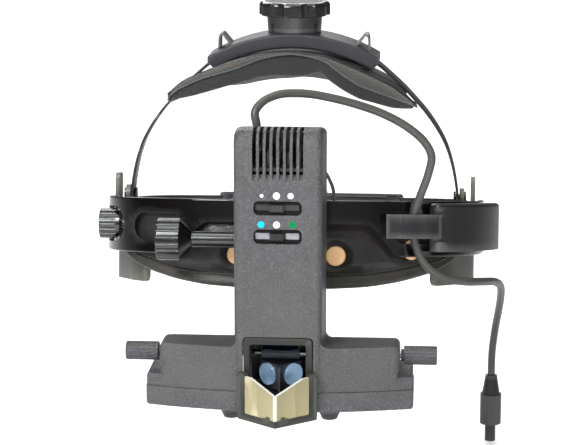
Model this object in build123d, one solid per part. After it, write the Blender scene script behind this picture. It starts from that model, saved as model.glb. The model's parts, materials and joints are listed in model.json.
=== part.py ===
from build123d import *
from functools import cache
import math
import os

# Head-worn binocular indirect ophthalmoscope.
# Millimetres, +Z up, +X to the wearer's left hand, the optics face -Y.
# Origin: centre of the head opening at the level of the headband.

# ---------------------------------------------------------------- shared dimensions
run_gap = 0.05            # radial running clearance

# headband, in its own level frame
band_tilt = 10.3          # degrees; the band slopes down towards the back
band_front = 102.5        # outer face at centre front
band_half_w = 92.0        # outer half width at the temples
band_t = 2.6              # wall
band_top, band_low = 13.0, -12.8
band_arch = 2.4           # lower edge of the raised centre section
strap_lug_y, strap_lug_z, strap_rivet_r = -44.8, 14.5, 1.5
pivot_y = -20.0           # rivets joining the rear arms
temple_knob_y = -59.0
pin_r = 2.5               # pivot rivets and temple knob stem

# optics casing
tower_x = 19.2            # half width of the lamp tower
tower_front, tower_back = -154.0, -114.0
tower_top = 67.5          # top of the back edge
crest_y = -142.0
crest_z = tower_top + 4.4
wall = 2.2
wing_x = 53.0             # half width of the binocular housing
flange_x = 59.0           # half width of its lower flange
flange_chamfer = 7.0
seam_z, floor_z = -44.2, -53.4
cover_t = 2.0             # base floor and rear cover
bow_r = 204.1             # plan radius of the bowed housing front
slot_w, slot_pitch, slot_n = 1.65, 2.9, 8

# optics
shaft_y, shaft_z, shaft_r = -134.0, -31.6, 1.5
lamp_y = -136.0           # vertical lamp axis
tower_in = tower_x - wall # inner half width of the tower
mount_front, mount_back = tower_front + wall + .1, -118.0
aperture_z, filter_z = 38.2, 25.65
slider_travel = 6.1
filter_r = 2.75
view_z = -40.5            # height of the viewing axes
half_pd = 30.0            # half the eyepiece spacing
guide_ys, guide_z, guide_r = (-129.0, -119.6), -48.6, 1.25
guide_half = 55.5
pd_knob_x, pd_knob_y = 22.0, -138.0
rod_y, rod_z, rod_r = -108.5, 14.1, 3.75    # clamp rod

# crown
crown_y = -42.0
crown_r, crown_c = 76.0, 22.5   # strap arc radius and centre height
bracket_in, bracket_out = 72.8, 79.7
crown_pad_r, crown_pad_c = 90.0, 1.7


# ---------------------------------------------------------------- helpers
def block(x0, x1, y0, y1, z0, z1):
    return Pos((x0 + x1) / 2, (y0 + y1) / 2, (z0 + z1) / 2) * Box(x1 - x0, y1 - y0, z1 - z0)


def barrel(length, r, r_end):
    return Cylinder(r, length) if r_end is None else Cone(r, r_end, length)


def cyl_x(x0, x1, y, z, r, r_end=None):
    return Pos((x0 + x1) / 2, y, z) * Rot(0, 90, 0) * barrel(x1 - x0, r, r_end)


def cyl_y(y0, y1, x, z, r, r_end=None):
    return Pos(x, (y0 + y1) / 2, z) * Rot(-90, 0, 0) * barrel(y1 - y0, r, r_end)


def cyl_z(z0, z1, x, y, r, r_end=None):
    return Pos(x, y, (z0 + z1) / 2) * barrel(z1 - z0, r, r_end)


def polygon(points):
    return make_face(Polyline(*points, close=True))


def prism_x(points, x0, x1):
    return extrude(Plane.YZ.offset(x0) * polygon(points), x1 - x0)


def prism_y(points, y0, y1):
    return extrude(Plane.XZ.offset(-y1) * polygon(points), y1 - y0)


def prism_z(points, z0, z1):
    return extrude(Plane.XY.offset(z0) * polygon(points), z1 - z0)


def forward(sketch, y, depth):
    """Extrude an XZ sketch from y towards -Y."""
    return extrude(Plane.XZ.offset(-y) * sketch, depth)


def rounded_slab(x, z, width, height, radius, y, depth):
    return forward(Pos(x, z) * RectangleRounded(width, height, radius), y, depth)


def mirrored(shape):
    return mirror(shape, about=Plane.YZ)


def pair(shape):
    return Compound(children=[shape, mirrored(shape)])


def group(*shapes):
    return Compound(children=[solid for shape in shapes for solid in shape.solids()])


def largest(shape):
    return max(shape.solids(), key=lambda solid: solid.volume)


def rounded(shape, edges, *radii):
    # The kernel may refuse a fillet: take the first radius that works, or leave the edges sharp.
    for radius in radii:
        try:
            return fillet(edges, radius)
        except Exception:
            continue
    return shape


def face_edges(shape, axis, index):
    """Edges of the last (-1) or first (0) face along an axis."""
    return shape.faces().sort_by(axis)[index].edges()


def rise(edge):
    return abs((edge @ 0).Z - (edge @ 1).Z)


def ring(count, radius, phase=0.0):
    angles = [2 * math.pi * i / count + phase for i in range(count)]
    return [(radius * math.cos(a), radius * math.sin(a)) for a in angles]


def tilted(y, z, angle):
    """Level band (y, z) seen in the world for a positive angle; the inverse for a negative."""
    c, s = math.cos(angle), math.sin(angle)
    return y * c + z * s, -y * s + z * c


def shift(points, distance):
    """Move an open outline to the left of its direction, by one distance or one per point."""
    moved = []
    for i, (x, y) in enumerate(points):
        before = points[max(i - 1, 0)]
        after = points[min(i + 1, len(points) - 1)]
        dx, dy = after[0] - before[0], after[1] - before[1]
        length = math.hypot(dx, dy)
        d = distance[i] if isinstance(distance, list) else distance
        moved.append((x - dy / length * d, y + dx / length * d))
    return moved


def whole(half):
    """Mirror a half outline that starts on the centre line into a whole one."""
    return [(-x, y) for x, y in reversed(half[1:])] + [(0, half[0][1])] + list(half[1:])


def strip(outer, inner):
    """Face between two splines, closed by straight ends."""
    return make_face([Spline(*outer), Line(outer[-1], inner[-1]),
                      Spline(*list(reversed(inner))), Line(inner[0], outer[0])])


def strip_z(outer, inner, z, height):
    return extrude(Plane.XY.offset(z) * strip(outer, inner), height)


def arc_z(radius, centre, x):
    return centre + math.sqrt(radius * radius - x * x)


def arc_slab(r_in, r_out, centre, half_x, half_y):
    """Slab over the crown between two arcs about (0, centre) in XZ."""
    z_in, z_out = arc_z(r_in, centre, half_x), arc_z(r_out, centre, half_x)
    face = make_face([
        ThreePointArc((-half_x, z_out), (0, centre + r_out), (half_x, z_out)),
        Line((half_x, z_out), (half_x, z_in)),
        ThreePointArc((half_x, z_in), (0, centre + r_in), (-half_x, z_in)),
        Line((-half_x, z_in), (-half_x, z_out))])
    return forward(face, crown_y + half_y, 2 * half_y)


BAND = Rot(-band_tilt, 0, 0)
TILT = math.radians(band_tilt)

# Half outline (x, y) of the band's outer face in its own plane, centre to temple.
BAND_HALF = [
    (0, -band_front), (11, -band_front), (22, -band_front), (30, -102.1), (38, -101.0),
    (46, -98.8), (54, -95.5), (62, -91.0), (69, -86.0), (75, -80.4), (80, -74.4), (84, -67.5),
    (87.3, -59.5), (89.6, -51), (91.1, -42),
    (band_half_w, -30), (band_half_w, -19), (band_half_w, -8)]


# ================================================================ optics casing
def housing_plan(half_x, inset, back, chamfer=0.0):
    """Plan of the housing: bowed front moved back by inset, straight sides and back."""
    y = tower_front + bow_r - math.sqrt((bow_r - inset) ** 2 - half_x * half_x)
    left, right = (-half_x, y), (half_x, y)
    if chamfer:
        points = [right, (half_x, back - chamfer), (half_x - chamfer, back),
                  (-half_x + chamfer, back), (-half_x, back - chamfer), left]
    else:
        points = [right, (half_x, back), (-half_x, back), left]
    edges = [ThreePointArc(left, (0, tower_front + inset), right)]
    edges += [Line(start, end) for start, end in zip(points, points[1:])]
    return make_face(edges)


def top_front_edges(shape, y, z):
    edges = shape.edges().filter_by(Axis.X).filter_by_position(Axis.Z, z - .1, z + .1)
    return edges.filter_by_position(Axis.Y, y - .1, y + .1)


def tower_shell():
    side = [(tower_back, seam_z), (tower_back, tower_top), (crest_y, crest_z),
            (tower_front, crest_z), (tower_front, seam_z)]
    tower = prism_x(side, -tower_x, tower_x)
    tower = fillet(top_front_edges(tower, tower_front, crest_z), 7.5)
    side_faces = [f for f in tower.faces() if abs(abs(f.center().X) - tower_x) < .01]
    outline = [e for f in side_faces for e in f.edges()
               if e.center().Y < tower_back - .5 and e.center().Z > seam_z + .5]
    return rounded(tower, outline, 2.8, 2.4, 1.6)


def wing_shell():
    wing = extrude(Plane.XY.offset(seam_z) * housing_plan(wing_x, 0, tower_back), 20.0)
    # the top falls away towards the wearer
    wing = wing - prism_x([(tower_front - 10, -22.6), (-139.0, -22.6), (tower_back + 5, -30.4),
                           (tower_back + 5, 0), (tower_front - 10, 0)], -80, 80)
    front_top = [e for e in wing.edges()
                 if e.center().Z > -23 and e.center().Y < -145 and abs(e.center().X) < 5]
    wing = rounded(wing, front_top, 9.0, 8.0, 7.0, 5.5)
    rim = [e for e in wing.edges() if abs(e.center().X) > wing_x - .2
           and e.center().Y < tower_back - .5 and e.center().Z > seam_z + .5]
    return rounded(wing, rim, 2.8, 2.4, 2.0, 1.4, .8)


def flange_shell():
    plan = housing_plan(flange_x, 0, tower_back, flange_chamfer)
    flange = extrude(Plane.XY.offset(seam_z) * plan, 5.7)
    top = [e for e in face_edges(flange, Axis.Z, -1) if e.center().Y < tower_back - 1]
    return rounded(flange, top, 1.4, .8)


def tower_cavity():
    top = crest_z - wall
    front, back = tower_front + wall, tower_back + 1
    cavity = prism_x([(back, seam_z - 1), (back, tower_top - wall), (crest_y, top),
                      (front, top), (front, seam_z - 1)], -tower_in, tower_in)
    return fillet(top_front_edges(cavity, front, top), 5.3)


def wing_cavity():
    plan = housing_plan(wing_x - wall, wall, tower_back + 1)
    cavity = extrude(Plane.XY.offset(seam_z - 1) * plan, 20.0)
    cavity = cavity - prism_x([(tower_front - 10, -26.6), (tower_back + 5, -31.6),
                               (tower_back + 5, 0), (tower_front - 10, 0)], -80, 80)
    top = [e for e in face_edges(cavity, Axis.Z, -1) if e.center().Y < tower_back - 1]
    return rounded(cavity, top, 4.8, 3.5, 2.0)


def optics_casing():
    casing = tower_shell() + wing_shell() + flange_shell()
    # fillet where the tower sides run down into the housing top
    roots = [e for e in casing.edges() if abs(abs(e.center().X) - tower_x) < .05
             and -31 < e.center().Z < -22 and -147 < e.center().Y < tower_back - .5
             and abs((e @ 0).Y - (e @ 1).Y) > 4]
    casing = rounded(casing, roots, 3.0, 2.2, 1.5)

    flange_plan = housing_plan(flange_x - wall, wall, tower_back - wall, flange_chamfer - 1)
    flange_cavity = extrude(Plane.XY.offset(seam_z - 1) * flange_plan, 3.6)
    casing = casing - tower_cavity() - wing_cavity() - flange_cavity

    # cooling slots over the top front edge, with a sloping floor
    slot_side = [(tower_front - 1, 49.2), (tower_front + wall + .4, 53.2),
                 (tower_front + 9, 53.2), (tower_front + 9, 64.5), (-121.5, 64.5),
                 (-121.5, tower_top + 6), (tower_front - 1, tower_top + 6)]
    for i in range(slot_n):
        x = (i - (slot_n - 1) / 2) * slot_pitch
        casing = casing - prism_x(slot_side, x - slot_w / 2, x + slot_w / 2)

    # slider recesses, each with a slot through the wall
    for z, height in ((aperture_z, 6.2), (filter_z, 6.4)):
        casing = casing - rounded_slab(0, z, 20.9, height, 2.3, tower_front + .85, 5)
        casing = casing - rounded_slab(-.3, z, 19.1, 3.05, .42, tower_front + 4, 8)

    # window for the bezel, open at the bottom
    casing = casing - rounded_slab(0, -41.3, 31.0, 44.0, 2.2, tower_front + 9, 16)
    casing = casing - block(-15.5, 15.5, tower_front - 3, tower_front + 9, seam_z - 2, seam_z + 5)
    # beam shaft holes in both end walls
    return casing - cyl_x(-wing_x - 2, wing_x + 2, shaft_y, shaft_z, shaft_r + run_gap)


def eyepiece_window(side):
    return forward(Pos(side * half_pd, view_z) * SlotOverall(28.4, 14.2), -108, 10)


def base_cover():
    lip = .4              # overhang beyond the flange
    half_x = flange_x + lip
    inner_floor = floor_z + cover_t
    tray = extrude(Plane.XY.offset(floor_z)
                   * housing_plan(half_x, -lip, tower_back + .2, flange_chamfer),
                   seam_z - .1 - floor_z)
    tray = rounded(tray, face_edges(tray, Axis.Z, 0), 1.6, 1.0)
    corners = [e for e in tray.edges() if abs(abs(e.center().X) - half_x) < .1
               and e.center().Y < -140 and rise(e) > 3]
    tray = rounded(tray, corners, 1.5, .8)
    inner_plan = housing_plan(flange_x - wall, wall, tower_back - cover_t, flange_chamfer - 1)
    tray = tray - extrude(Plane.XY.offset(inner_floor) * inner_plan, 20)
    tray = tray - block(-15.5, 15.5, tower_front - 3, tower_front + 9, inner_floor, 0)
    for side in (-1, 1):
        knob_slot = extrude(SlotOverall(18.6, 4.4), 10, both=True)
        tray = tray - (Pos(side * pd_knob_x, pd_knob_y, floor_z) * knob_slot)
        tray = tray - eyepiece_window(side)
    # pillars that hold the guide rods
    pillar = block(-56.7, -51.5, -131.5, -117.0, inner_floor, -46.4)
    tray = tray + (pillar + mirrored(pillar))
    for y in guide_ys:
        tray = tray - cyl_x(-guide_half, guide_half, y, guide_z, guide_r)
    return tray


def guide_rods():
    return group(*[cyl_x(-guide_half, guide_half, y, guide_z, guide_r) for y in guide_ys])


def rear_cover():
    """Cover on the wearer's side, with vents, tilt lugs and a cable boss."""
    inside = tower_back - cover_t
    plate = block(-16.9, 16.9, inside, tower_back, -32, tower_top - wall - .1)
    plate = plate + block(-50.7, 50.7, inside, tower_back, seam_z + .1, -31.0)
    plate = plate & (tower_cavity() + wing_cavity())
    for side in (-1, 1):
        plate = plate - eyepiece_window(side)
    for i in range(6):
        x = -11 + i * 4
        plate = plate - block(x, x + 1.8, tower_back - 3, tower_back + 1, 44, 56)
    lug_side = [(tower_back, rod_z - 8.5), (tower_back, rod_z + 8.5),
                (rod_y - 1.5, rod_z + 5.1), (rod_y + 1, rod_z + 5.1),
                (rod_y + 1, rod_z - 5.1), (rod_y - 1.5, rod_z - 5.1)]
    for x in (-10.0, 4.0):
        plate = plate + (prism_x(lug_side, x, x + 6) + cyl_x(x, x + 6, rod_y, rod_z, 5.4))
    plate = plate - cyl_x(-20, 20, rod_y, rod_z, rod_r + run_gap)
    cable_x, _, cable_z = CABLE_ROUTE[0]
    return plate + cyl_y(tower_back, tower_back + 1.0, cable_x, cable_z, 3.4, 2.9)


def cover_screws():
    places = ((-13.5, 40), (13.5, 40), (-13.5, -8), (13.5, -8), (-47.5, -37.5), (47.5, -37.5))
    return group(*[
        cyl_y(tower_back + .02, tower_back + 1.5, x, z, 2.2)
        - block(x - 1.6, x + 1.6, tower_back + .9, tower_back + 3, z - .3, z + .3)
        for x, z in places])


def window_bezel():
    bezel = rounded_slab(0, -41.4, 30.4, 43.6, 2.0, tower_front + 11, 11.1)
    bezel = bezel - rounded_slab(0, -44.8, 24.5, 44.0, 1.0, tower_front + 12, 16)
    bezel = bezel - block(-20, 20, tower_front - 5, tower_front + 12, -70,
                          floor_z + cover_t + .1)
    front = [e for e in bezel.edges() if e.center().Y < tower_front + .2]
    return rounded(bezel, front, .6, .35)


# ================================================================ lamp and beam parts
def lens(z, r, edge, bulge):
    """Biconvex lens on the lamp axis."""
    sphere_r = (r * r + bulge * bulge) / (2 * bulge)
    half = edge / 2 + bulge
    body = cyl_z(z - half, z + half, 0, lamp_y, r)
    top = Pos(0, lamp_y, z + half - sphere_r) * Sphere(sphere_r)
    bottom = Pos(0, lamp_y, z - half + sphere_r) * Sphere(sphere_r)
    return body & top & bottom


board_low, board_high = 52.0, 53.6
led_z = board_low - .8
sink_top = 55.2           # top of the heat sink plate
condenser_r, projector_r, tube_r = 6.7, 7.0, 8.5


def heat_sink():
    sink = block(-tower_in, tower_in, -150, -119, board_high, sink_top)
    for i in range(7):
        x = -13.5 + i * 4.5
        sink = sink + block(x - .7, x + .7, -147, -120, sink_top, 61.5)
    return sink


def lamp_board():
    dome = Pos(0, lamp_y, led_z) * Sphere(1.7)
    return (cyl_z(board_low, board_high, 0, lamp_y, 8.5) + cyl_z(led_z, board_low, 0, lamp_y, 3.0)
            + (dome & block(-5, 5, lamp_y - 5, lamp_y + 5, 45, led_z)))


def condenser_tube():
    tube = cyl_z(42.9, 50.4, 0, lamp_y, tube_r)
    tube = tube + block(-tower_in, tower_in, mount_front, mount_back, 43.2, 44.6)
    tube = tube - cyl_z(45.4, 51, 0, lamp_y, condenser_r) - cyl_z(42, 46, 0, lamp_y, 5.9)
    return tube - cyl_z(50.0, 51, 0, lamp_y, tube_r + .1)


def condenser_lens():
    return lens(z=47.4, r=condenser_r, edge=1.6, bulge=1.0)


def projector_tube():
    tube = cyl_z(-10, 14, 0, lamp_y, tube_r)
    tube = tube + block(-tower_in, tower_in, mount_front, mount_back, 12.4, 13.9)
    return tube - cyl_z(-7.4, 15, 0, lamp_y, projector_r) - cyl_z(-11, -7, 0, lamp_y, 6.2)


def projector_lens():
    return lens(z=-5.6, r=projector_r, edge=1.6, bulge=.9)


def slide_guide():
    """Plate behind the lamp axis with a groove for each slider."""
    guide = block(-tower_in, tower_in, -126.0, -119.5, 21.0, 42.3)
    for z in (37.5, 24.9):
        guide = guide - block(-tower_in - 1, tower_in + 1, -127, -123.0, z, z + 1.4)
    return guide - block(-8, 8, -127, -119, 28.5, 35.5)


# ---------------------------------------------------------------- sliders
def thumb(x, z, height):
    grip = block(x - 2.95, x + 2.95, -155.0, -151.4, z - height / 2, z + height / 2)
    for i in range(5):
        groove_x = x - 2.32 + i * 1.12
        grip = grip - block(groove_x, groove_x + .44, -156, -154.5, z - 3, z + 3)
    return grip


def slider(face_low, face_high, arm_low, thumb_z, hole_radii):
    """Face plate behind the slot, an arm running back from it, and a thumb grip."""
    half_x, face_y, arm_high = 10.6, -150.2, arm_low + 1.2
    body = (block(-half_x, half_x, face_y - 1.4, face_y, face_low, face_high)
            + block(-half_x, half_x, face_y, -123.1, arm_low, arm_high))
    body = body + thumb(-.5, thumb_z, 2.85)
    for x, r in zip((-slider_travel, 0, slider_travel), hole_radii):
        body = body - cyl_z(arm_low - 1, arm_high + 1, x, lamp_y, r)
    return body


def aperture_slider():
    return slider(34.6, 41.8, 37.6, aperture_z, (2.6, 1.6, .8))


def filter_slider():
    return slider(22.3, 29.0, 25.0, filter_z, (filter_r,) * 3)


def filter_glass_blue():
    return cyl_z(25.0, 26.0, slider_travel, lamp_y, filter_r)


def filter_glass_green():
    return cyl_z(25.0, 26.0, -slider_travel, lamp_y, filter_r)


# ---------------------------------------------------------------- beam mirror on its cross shaft
# 45 degree frame at the mirror centre; its Z faces forward and up
MIRROR_FRAME = Pos(0, -134.0, -24.4) * Rot(45, 0, 0)


def beam_shaft():
    return cyl_x(-64, 64, shaft_y, shaft_z, shaft_r)


def beam_knobs():
    start, flutes, flute_r = 54.9, 16, 4.4
    knob = cyl_x(start, 69.6, shaft_y, shaft_z, 4.2)
    knob = rounded(knob, face_edges(knob, Axis.X, -1), .6, .3)
    for i, (y, z) in enumerate(ring(flutes, flute_r)):
        place = Pos(62.5, shaft_y + y, shaft_z + z) * Rot(360 * i / flutes, 0, 0)
        knob = knob - (place * Box(13.0, .8, .55))
    knob = knob + cyl_x(53.6, start, shaft_y, shaft_z, 2.7)
    return pair(knob - cyl_x(50, 64, shaft_y, shaft_z, shaft_r))


def beam_mirror_holder():
    holder = MIRROR_FRAME * (Pos(0, 0, -1.0) * Box(17, 15, 1.6))
    holder = holder + cyl_x(-8.5, 8.5, shaft_y, shaft_z, 2.5)
    # web from the shaft boss, trimmed to stay behind the plate
    web = prism_x([(-136.4, -31.6), (-134.0, -29.0), (-134.0, -26.0), (-129.0, -21.2),
                   (-131.6, -31.6)], -4, 4)
    holder = holder + (web & (MIRROR_FRAME * (Pos(0, 0, -20.0) * Box(60, 60, 38.2))))
    return holder - cyl_x(-20, 20, shaft_y, shaft_z, shaft_r)


def beam_mirror():
    return MIRROR_FRAME * (Pos(0, 0, .4) * Box(16, 14, 1.2))


# ---------------------------------------------------------------- viewing mirrors on a fixed wedge
apex_y = -142.2           # front edge of the wedge
glass_shift = .43         # mirror centre off the 45 degree face, along x and y


def view_mirror_holder():
    low, high, back = -47.0, -35.2, apex_y + 11.2
    wedge = prism_z([(0, apex_y), (9, apex_y + 9), (9, back), (-9, back), (-9, apex_y + 9)],
                    low, high)
    return (wedge + block(-.5, .5, -145.6, apex_y + 1, low, high)
            + block(-6, 6, apex_y + 6.2, back, floor_z + cover_t, low))


def view_mirrors():
    along = 5.4
    place = Pos(along + glass_shift, apex_y + along - glass_shift, view_z)
    return pair(place * Rot(0, 0, 45) * Rot(90, 0, 0) * Cylinder(4.9, 1.2))


# ---------------------------------------------------------------- eyepieces, wearer's left
lens_r, tube_out_r, tube_back = 5.5, 6.7, -111.5
carriage_low, peg_top, peg_r = -50.9, -47.6, 1.7


def eyepiece_carriage():
    carriage = (block(19.0, 39.0, -142.0, -117.2, carriage_low, -46.8)
                + cyl_y(-127.0, tube_back, half_pd, view_z, tube_out_r)
                + prism_z([(25.2, -142.0), (35.2, -132.0), (36.4, -132.0), (36.4, -142.0)],
                          -47.5, -35.3))
    carriage = carriage - cyl_y(-128, -110, half_pd, view_z, lens_r)
    for y in guide_ys:
        carriage = carriage - cyl_x(15, 42, y, guide_z, guide_r + run_gap)
    return carriage - cyl_z(-52, peg_top, pd_knob_x, pd_knob_y, peg_r)


def fold_mirror():
    place = Pos(30.2 - glass_shift, -137.0 + glass_shift, -41.0)
    return place * Rot(0, 0, 45) * Box(12.0, 1.2, 11.2)


def eyepiece_lens():
    return cyl_y(-116.4, -113.6, half_pd, view_z, lens_r)


def eyecup():
    cup = (cyl_y(tube_back, -108.2, half_pd, view_z, 8.6)
           - cyl_y(-112, -108, half_pd, view_z, 5.6))
    cup = cup + (cyl_y(-113.4, tube_back, half_pd, view_z, 6.95)
                 - cyl_y(-114, -111, half_pd, view_z, tube_out_r))
    return rounded(cup, [e for e in cup.edges() if e.center().Y > -108.4], 1.0, .5)


def pd_knob():
    # z from, z to, lower radius, upper radius: peg (two lengths), head, taper below it
    steps = ((carriage_low, peg_top, peg_r, None), (floor_z - .2, carriage_low, peg_r, None),
             (-56.6, floor_z - .15, 5.0, None), (-60.2, -56.6, 3.4, 5.0))
    first, *others = [cyl_z(z0, z1, pd_knob_x, pd_knob_y, r, r_end)
                      for z0, z1, r, r_end in steps]
    for step in others:
        first = first + step
    return first


# ================================================================ teaching mirror
# Two leaves seen in plan, each running forward from its outer edge to a central spine.
leaf_x, leaf_y, spine_y = 17.4, -157.6, -172.0
leaf_angle = math.atan2(leaf_y - spine_y, leaf_x)
leaf_len = math.hypot(leaf_x, leaf_y - spine_y)
leaf_end = leaf_len + 6   # overrun, trimmed at the centre plane
LEAF_PLANE = Plane(origin=(leaf_x, leaf_y, 0),
                   x_dir=(-math.cos(leaf_angle), -math.sin(leaf_angle), 0),
                   z_dir=(math.sin(leaf_angle), -math.cos(leaf_angle), 0))


def leaf(points, near, far):
    """Panel from (distance from the outer edge, z) points, near..far behind the front face."""
    # the plane's own y points down
    return extrude(LEAF_PLANE.offset(-far) * polygon([(s, -z) for s, z in points]), far - near)


def teaching_frame():
    low = -55.2
    frame = leaf([(0, low), (leaf_end, low), (leaf_end, -52.2), (4.0, -52.2),
                  (4.0, -34.3), (0, -34.3)], 0, 2.6)
    # strip along the back of the sill
    frame = frame + leaf([(0, -53.8), (leaf_end, -53.8), (leaf_end, -50.2), (0, -50.2)], 1.9, 2.6)
    # small clip on the front, near the spine
    s = leaf_len - 5.2
    frame = frame + leaf([(s - 1.8, -52.4), (s + 1.8, -52.4), (s + 1.8, -50.9), (s - .2, -50.9),
                          (s - .2, -51.7), (s - 1.8, -51.7)], -.1, .25)
    frame = frame + leaf([(s - 1.8, -54.0), (s + 1.8, -54.0), (s + 1.8, -52.0),
                          (s - 1.8, -52.0)], -.1, .25)
    frame = frame & block(0, 60, -190, -100, -80, 0)
    # bottom ledge, arm back to the casing, outer post
    frame = frame + prism_z([(0, spine_y + 1.0), (leaf_x - .6, leaf_y + .4),
                             (leaf_x - .6, leaf_y + 2.2), (0, spine_y + 5.0)], low, -53.9)
    frame = frame + (block(11.0, 12.1, -157.4, -146.5, -51.0, -46.6)
                     + block(11.0, 17.2, -157.4, -155.9, -51.0, -46.6))
    frame = frame + block(15.6, leaf_x, -158.6, -154.3, -54.2, -35.5)
    return frame + mirrored(frame)


def teaching_panes():
    outline = [(4.05, -52.15), (leaf_end, -52.15), (leaf_end, -50), (leaf_len, -41.6),
               (7.2, -35.6), (4.05, -35.5)]
    return pair(leaf(outline, .35, 1.75) & block(.02, 60, -190, -100, -80, 0))


# ================================================================ headband
# Band parts are built level, then tilted by BAND.
def arch_z(x):
    """Lower edge of the band, easing from the raised centre down to the sides."""
    u = min(max((x - 36.0) / 17.5, 0), 1)
    u = u * u * (3 - 2 * u)
    return band_arch + (band_low - .05 - band_arch) * u


@cache
def level_band():
    band = strip_z(whole(BAND_HALF), whole(shift(BAND_HALF, band_t)),
                   band_low, band_top - band_low)
    right = [(34 + i * 1.5, arch_z(34 + i * 1.5)) for i in range(14)]
    left = [(-x, z) for x, z in right]
    low_right, low_left = (right[-1][0], -30), (left[-1][0], -30)
    arch = make_face([Line(left[0], right[0]), Spline(*right), Line(right[-1], low_right),
                      Line(low_right, low_left), Line(low_left, left[-1]), Spline(*left[::-1])])
    band = band - forward(arch, -60, 60)
    for side in (-1, 1):
        band = band - rounded_slab(side * 60.8, -.3, 23.6, 13.0, 5.6, -70, 50)
    notch = extrude(Plane.YZ.offset(66) * (Pos(-60, 0) * SlotOverall(32, 17)), 40)
    band = band - notch - mirrored(notch)
    end_y, mid_x = BAND_HALF[-1][1], band_half_w - band_t / 2
    tail = [e for e in band.edges() if abs(e.center().Y - end_y) < .05
            and abs(abs(e.center().X) - mid_x) < 1 and e.length < 4]
    band = rounded(band, tail, 6.0, 3.0)
    return rounded(band, face_edges(band, Axis.Z, -1), .7, .4)


def front_band():
    return BAND * level_band()


def level_studs():
    studs = []
    for side in (-1, 1):
        stud = cyl_y(-100.6, -99.52, side * 22.7, -12.5, 4.6)
        front = [e for e in stud.edges() if e.center().Y < -100.5]
        studs.append(rounded(stud, front, .7, .4))
        # thin disc turned to follow the band
        studs.append(Pos(side * 58.9, -92.85, -9.6) * Rot(0, 0, side * 29.6)
                     * Pos(0, 2.95, 0) * cyl_y(-.15, .15, 0, 0, 4.6))
    return studs


def brow_pad():
    gap = band_t + .4
    # pad thickness at each outline point, centre outwards
    thick = [8.5, 8.5, 8.5, 8.5, 8.5, 8.5, 8.3, 7.6, 6.2, 4.2, 3.0]
    line = BAND_HALF[:len(thick)]
    pad = strip_z(whole(shift(line, gap)), whole(shift(line, [gap + t for t in thick])),
                  -29, 39.4)
    # lower edge (x, z), centre to side
    low = whole([(0, -28.2), (20, -27.8), (38.7, -26.8), (54, -24.5), (66, -21.5),
                 (77, -18.0), (84, -14.5)])
    below = make_face([Spline(*low), Line(low[-1], (84, -40)), Line((84, -40), (-84, -40)),
                       Line((-84, -40), low[0])])
    pad = pad - forward(below, -50, 70)
    for stud in level_studs():
        pad = pad - stud
    return BAND * largest(pad)


def pad_studs():
    return group(*[BAND * stud for stud in level_studs()])


# ---------------------------------------------------------------- tilt bracket, clamp rod, knob
neck_x, stem_x = -42.4, -56.0   # rod shoulder and end of its thin stem
stem_r = 3.0
cone_x = -47.8                  # clamp knob: grip ends, cone starts


def tilt_bracket():
    y, z = tilted(rod_y, rod_z, -TILT)
    bracket = block(-16, 16, -104.5, -102.5, 2.7, 12.7)
    bracket = rounded(bracket, bracket.edges().filter_by(Axis.Y), 2.0)
    lug = [(-102.5, 12.4), (-102.5, -1.5), (y + 3.7, z - 3.4), (y + .8, z - 5.0),
           (y - 3.2, z - 3.5), (y - 4.5, z + 1.5), (y - 2.3, z + 4.3), (-104.5, 12.4)]
    for x0, x1 in ((10.4, 15.4), (-15.4, -10.4)):
        bracket = bracket + prism_x(lug, x0, x1) + cyl_x(x0, x1, y, z, 5.2)
    bracket = bracket - cyl_x(-20, 20, y, z, rod_r)
    return BAND * (bracket - level_band())


def clamp_rod():
    rod = (cyl_x(neck_x, 15.5, rod_y, rod_z, rod_r)
           + cyl_x(stem_x, neck_x, rod_y, rod_z, stem_r))
    return rod + extrude(Plane.YZ.offset(15.5) * (Pos(rod_y, rod_z) * RegularPolygon(5.2, 6)), 2.9)


def clamp_knob():
    knob = cyl_x(-58.4, cone_x, rod_y, rod_z, 9.75)
    knob = rounded(knob, face_edges(knob, Axis.X, 0), 1.0, .6)
    for y, z in ring(20, 10.15):
        knob = knob - cyl_x(-60, cone_x, rod_y + y, rod_z + z, .95)
    knob = knob + cyl_x(cone_x, -42.6, rod_y, rod_z, 9.3, 3.9)
    return knob - cyl_x(-56.3, -42, rod_y, rod_z, stem_r + run_gap)


# ---------------------------------------------------------------- temples
def temple_plates():
    # outer face (x, y), front to back
    line = [(67.5, -76), (72.5, -69.5), (77.0, -61.5), (80.6, -53), (84.4, -44),
            (87.0, -36), (87.6, -28), (87.6, -19), (87.6, -10)]
    plate = strip_z(line, shift(line, 2.0), -27, 36.0)
    post = block(85.3, 87.3, -47.5, -35.5, -10, 24.5)
    post = rounded(post, [e for e in post.edges().filter_by(Axis.X) if e.center().Z > 20], 3.0)
    lug = (block(79.8, 86.0, -47.4, -41.8, 9.6, 11.5)
           + cyl_x(79.8, 82.0, strap_lug_y, strap_lug_z, 4.4))
    plate = plate + (post & block(84, 90, -60, -30, 5, 30)) + lug
    plate = plate - cyl_x(70, 84, strap_lug_y, strap_lug_z, strap_rivet_r)
    plate = plate - cyl_x(80, 90, pivot_y, 0, pin_r) - cyl_x(70, 81, temple_knob_y, 0, pin_r)
    bottom = [e for e in plate.edges() if abs(e.center().Z - (-27)) < .1 and e.length < 2.4]
    return pair(BAND * rounded(plate, bottom, 3.0, 1.5))


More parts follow.
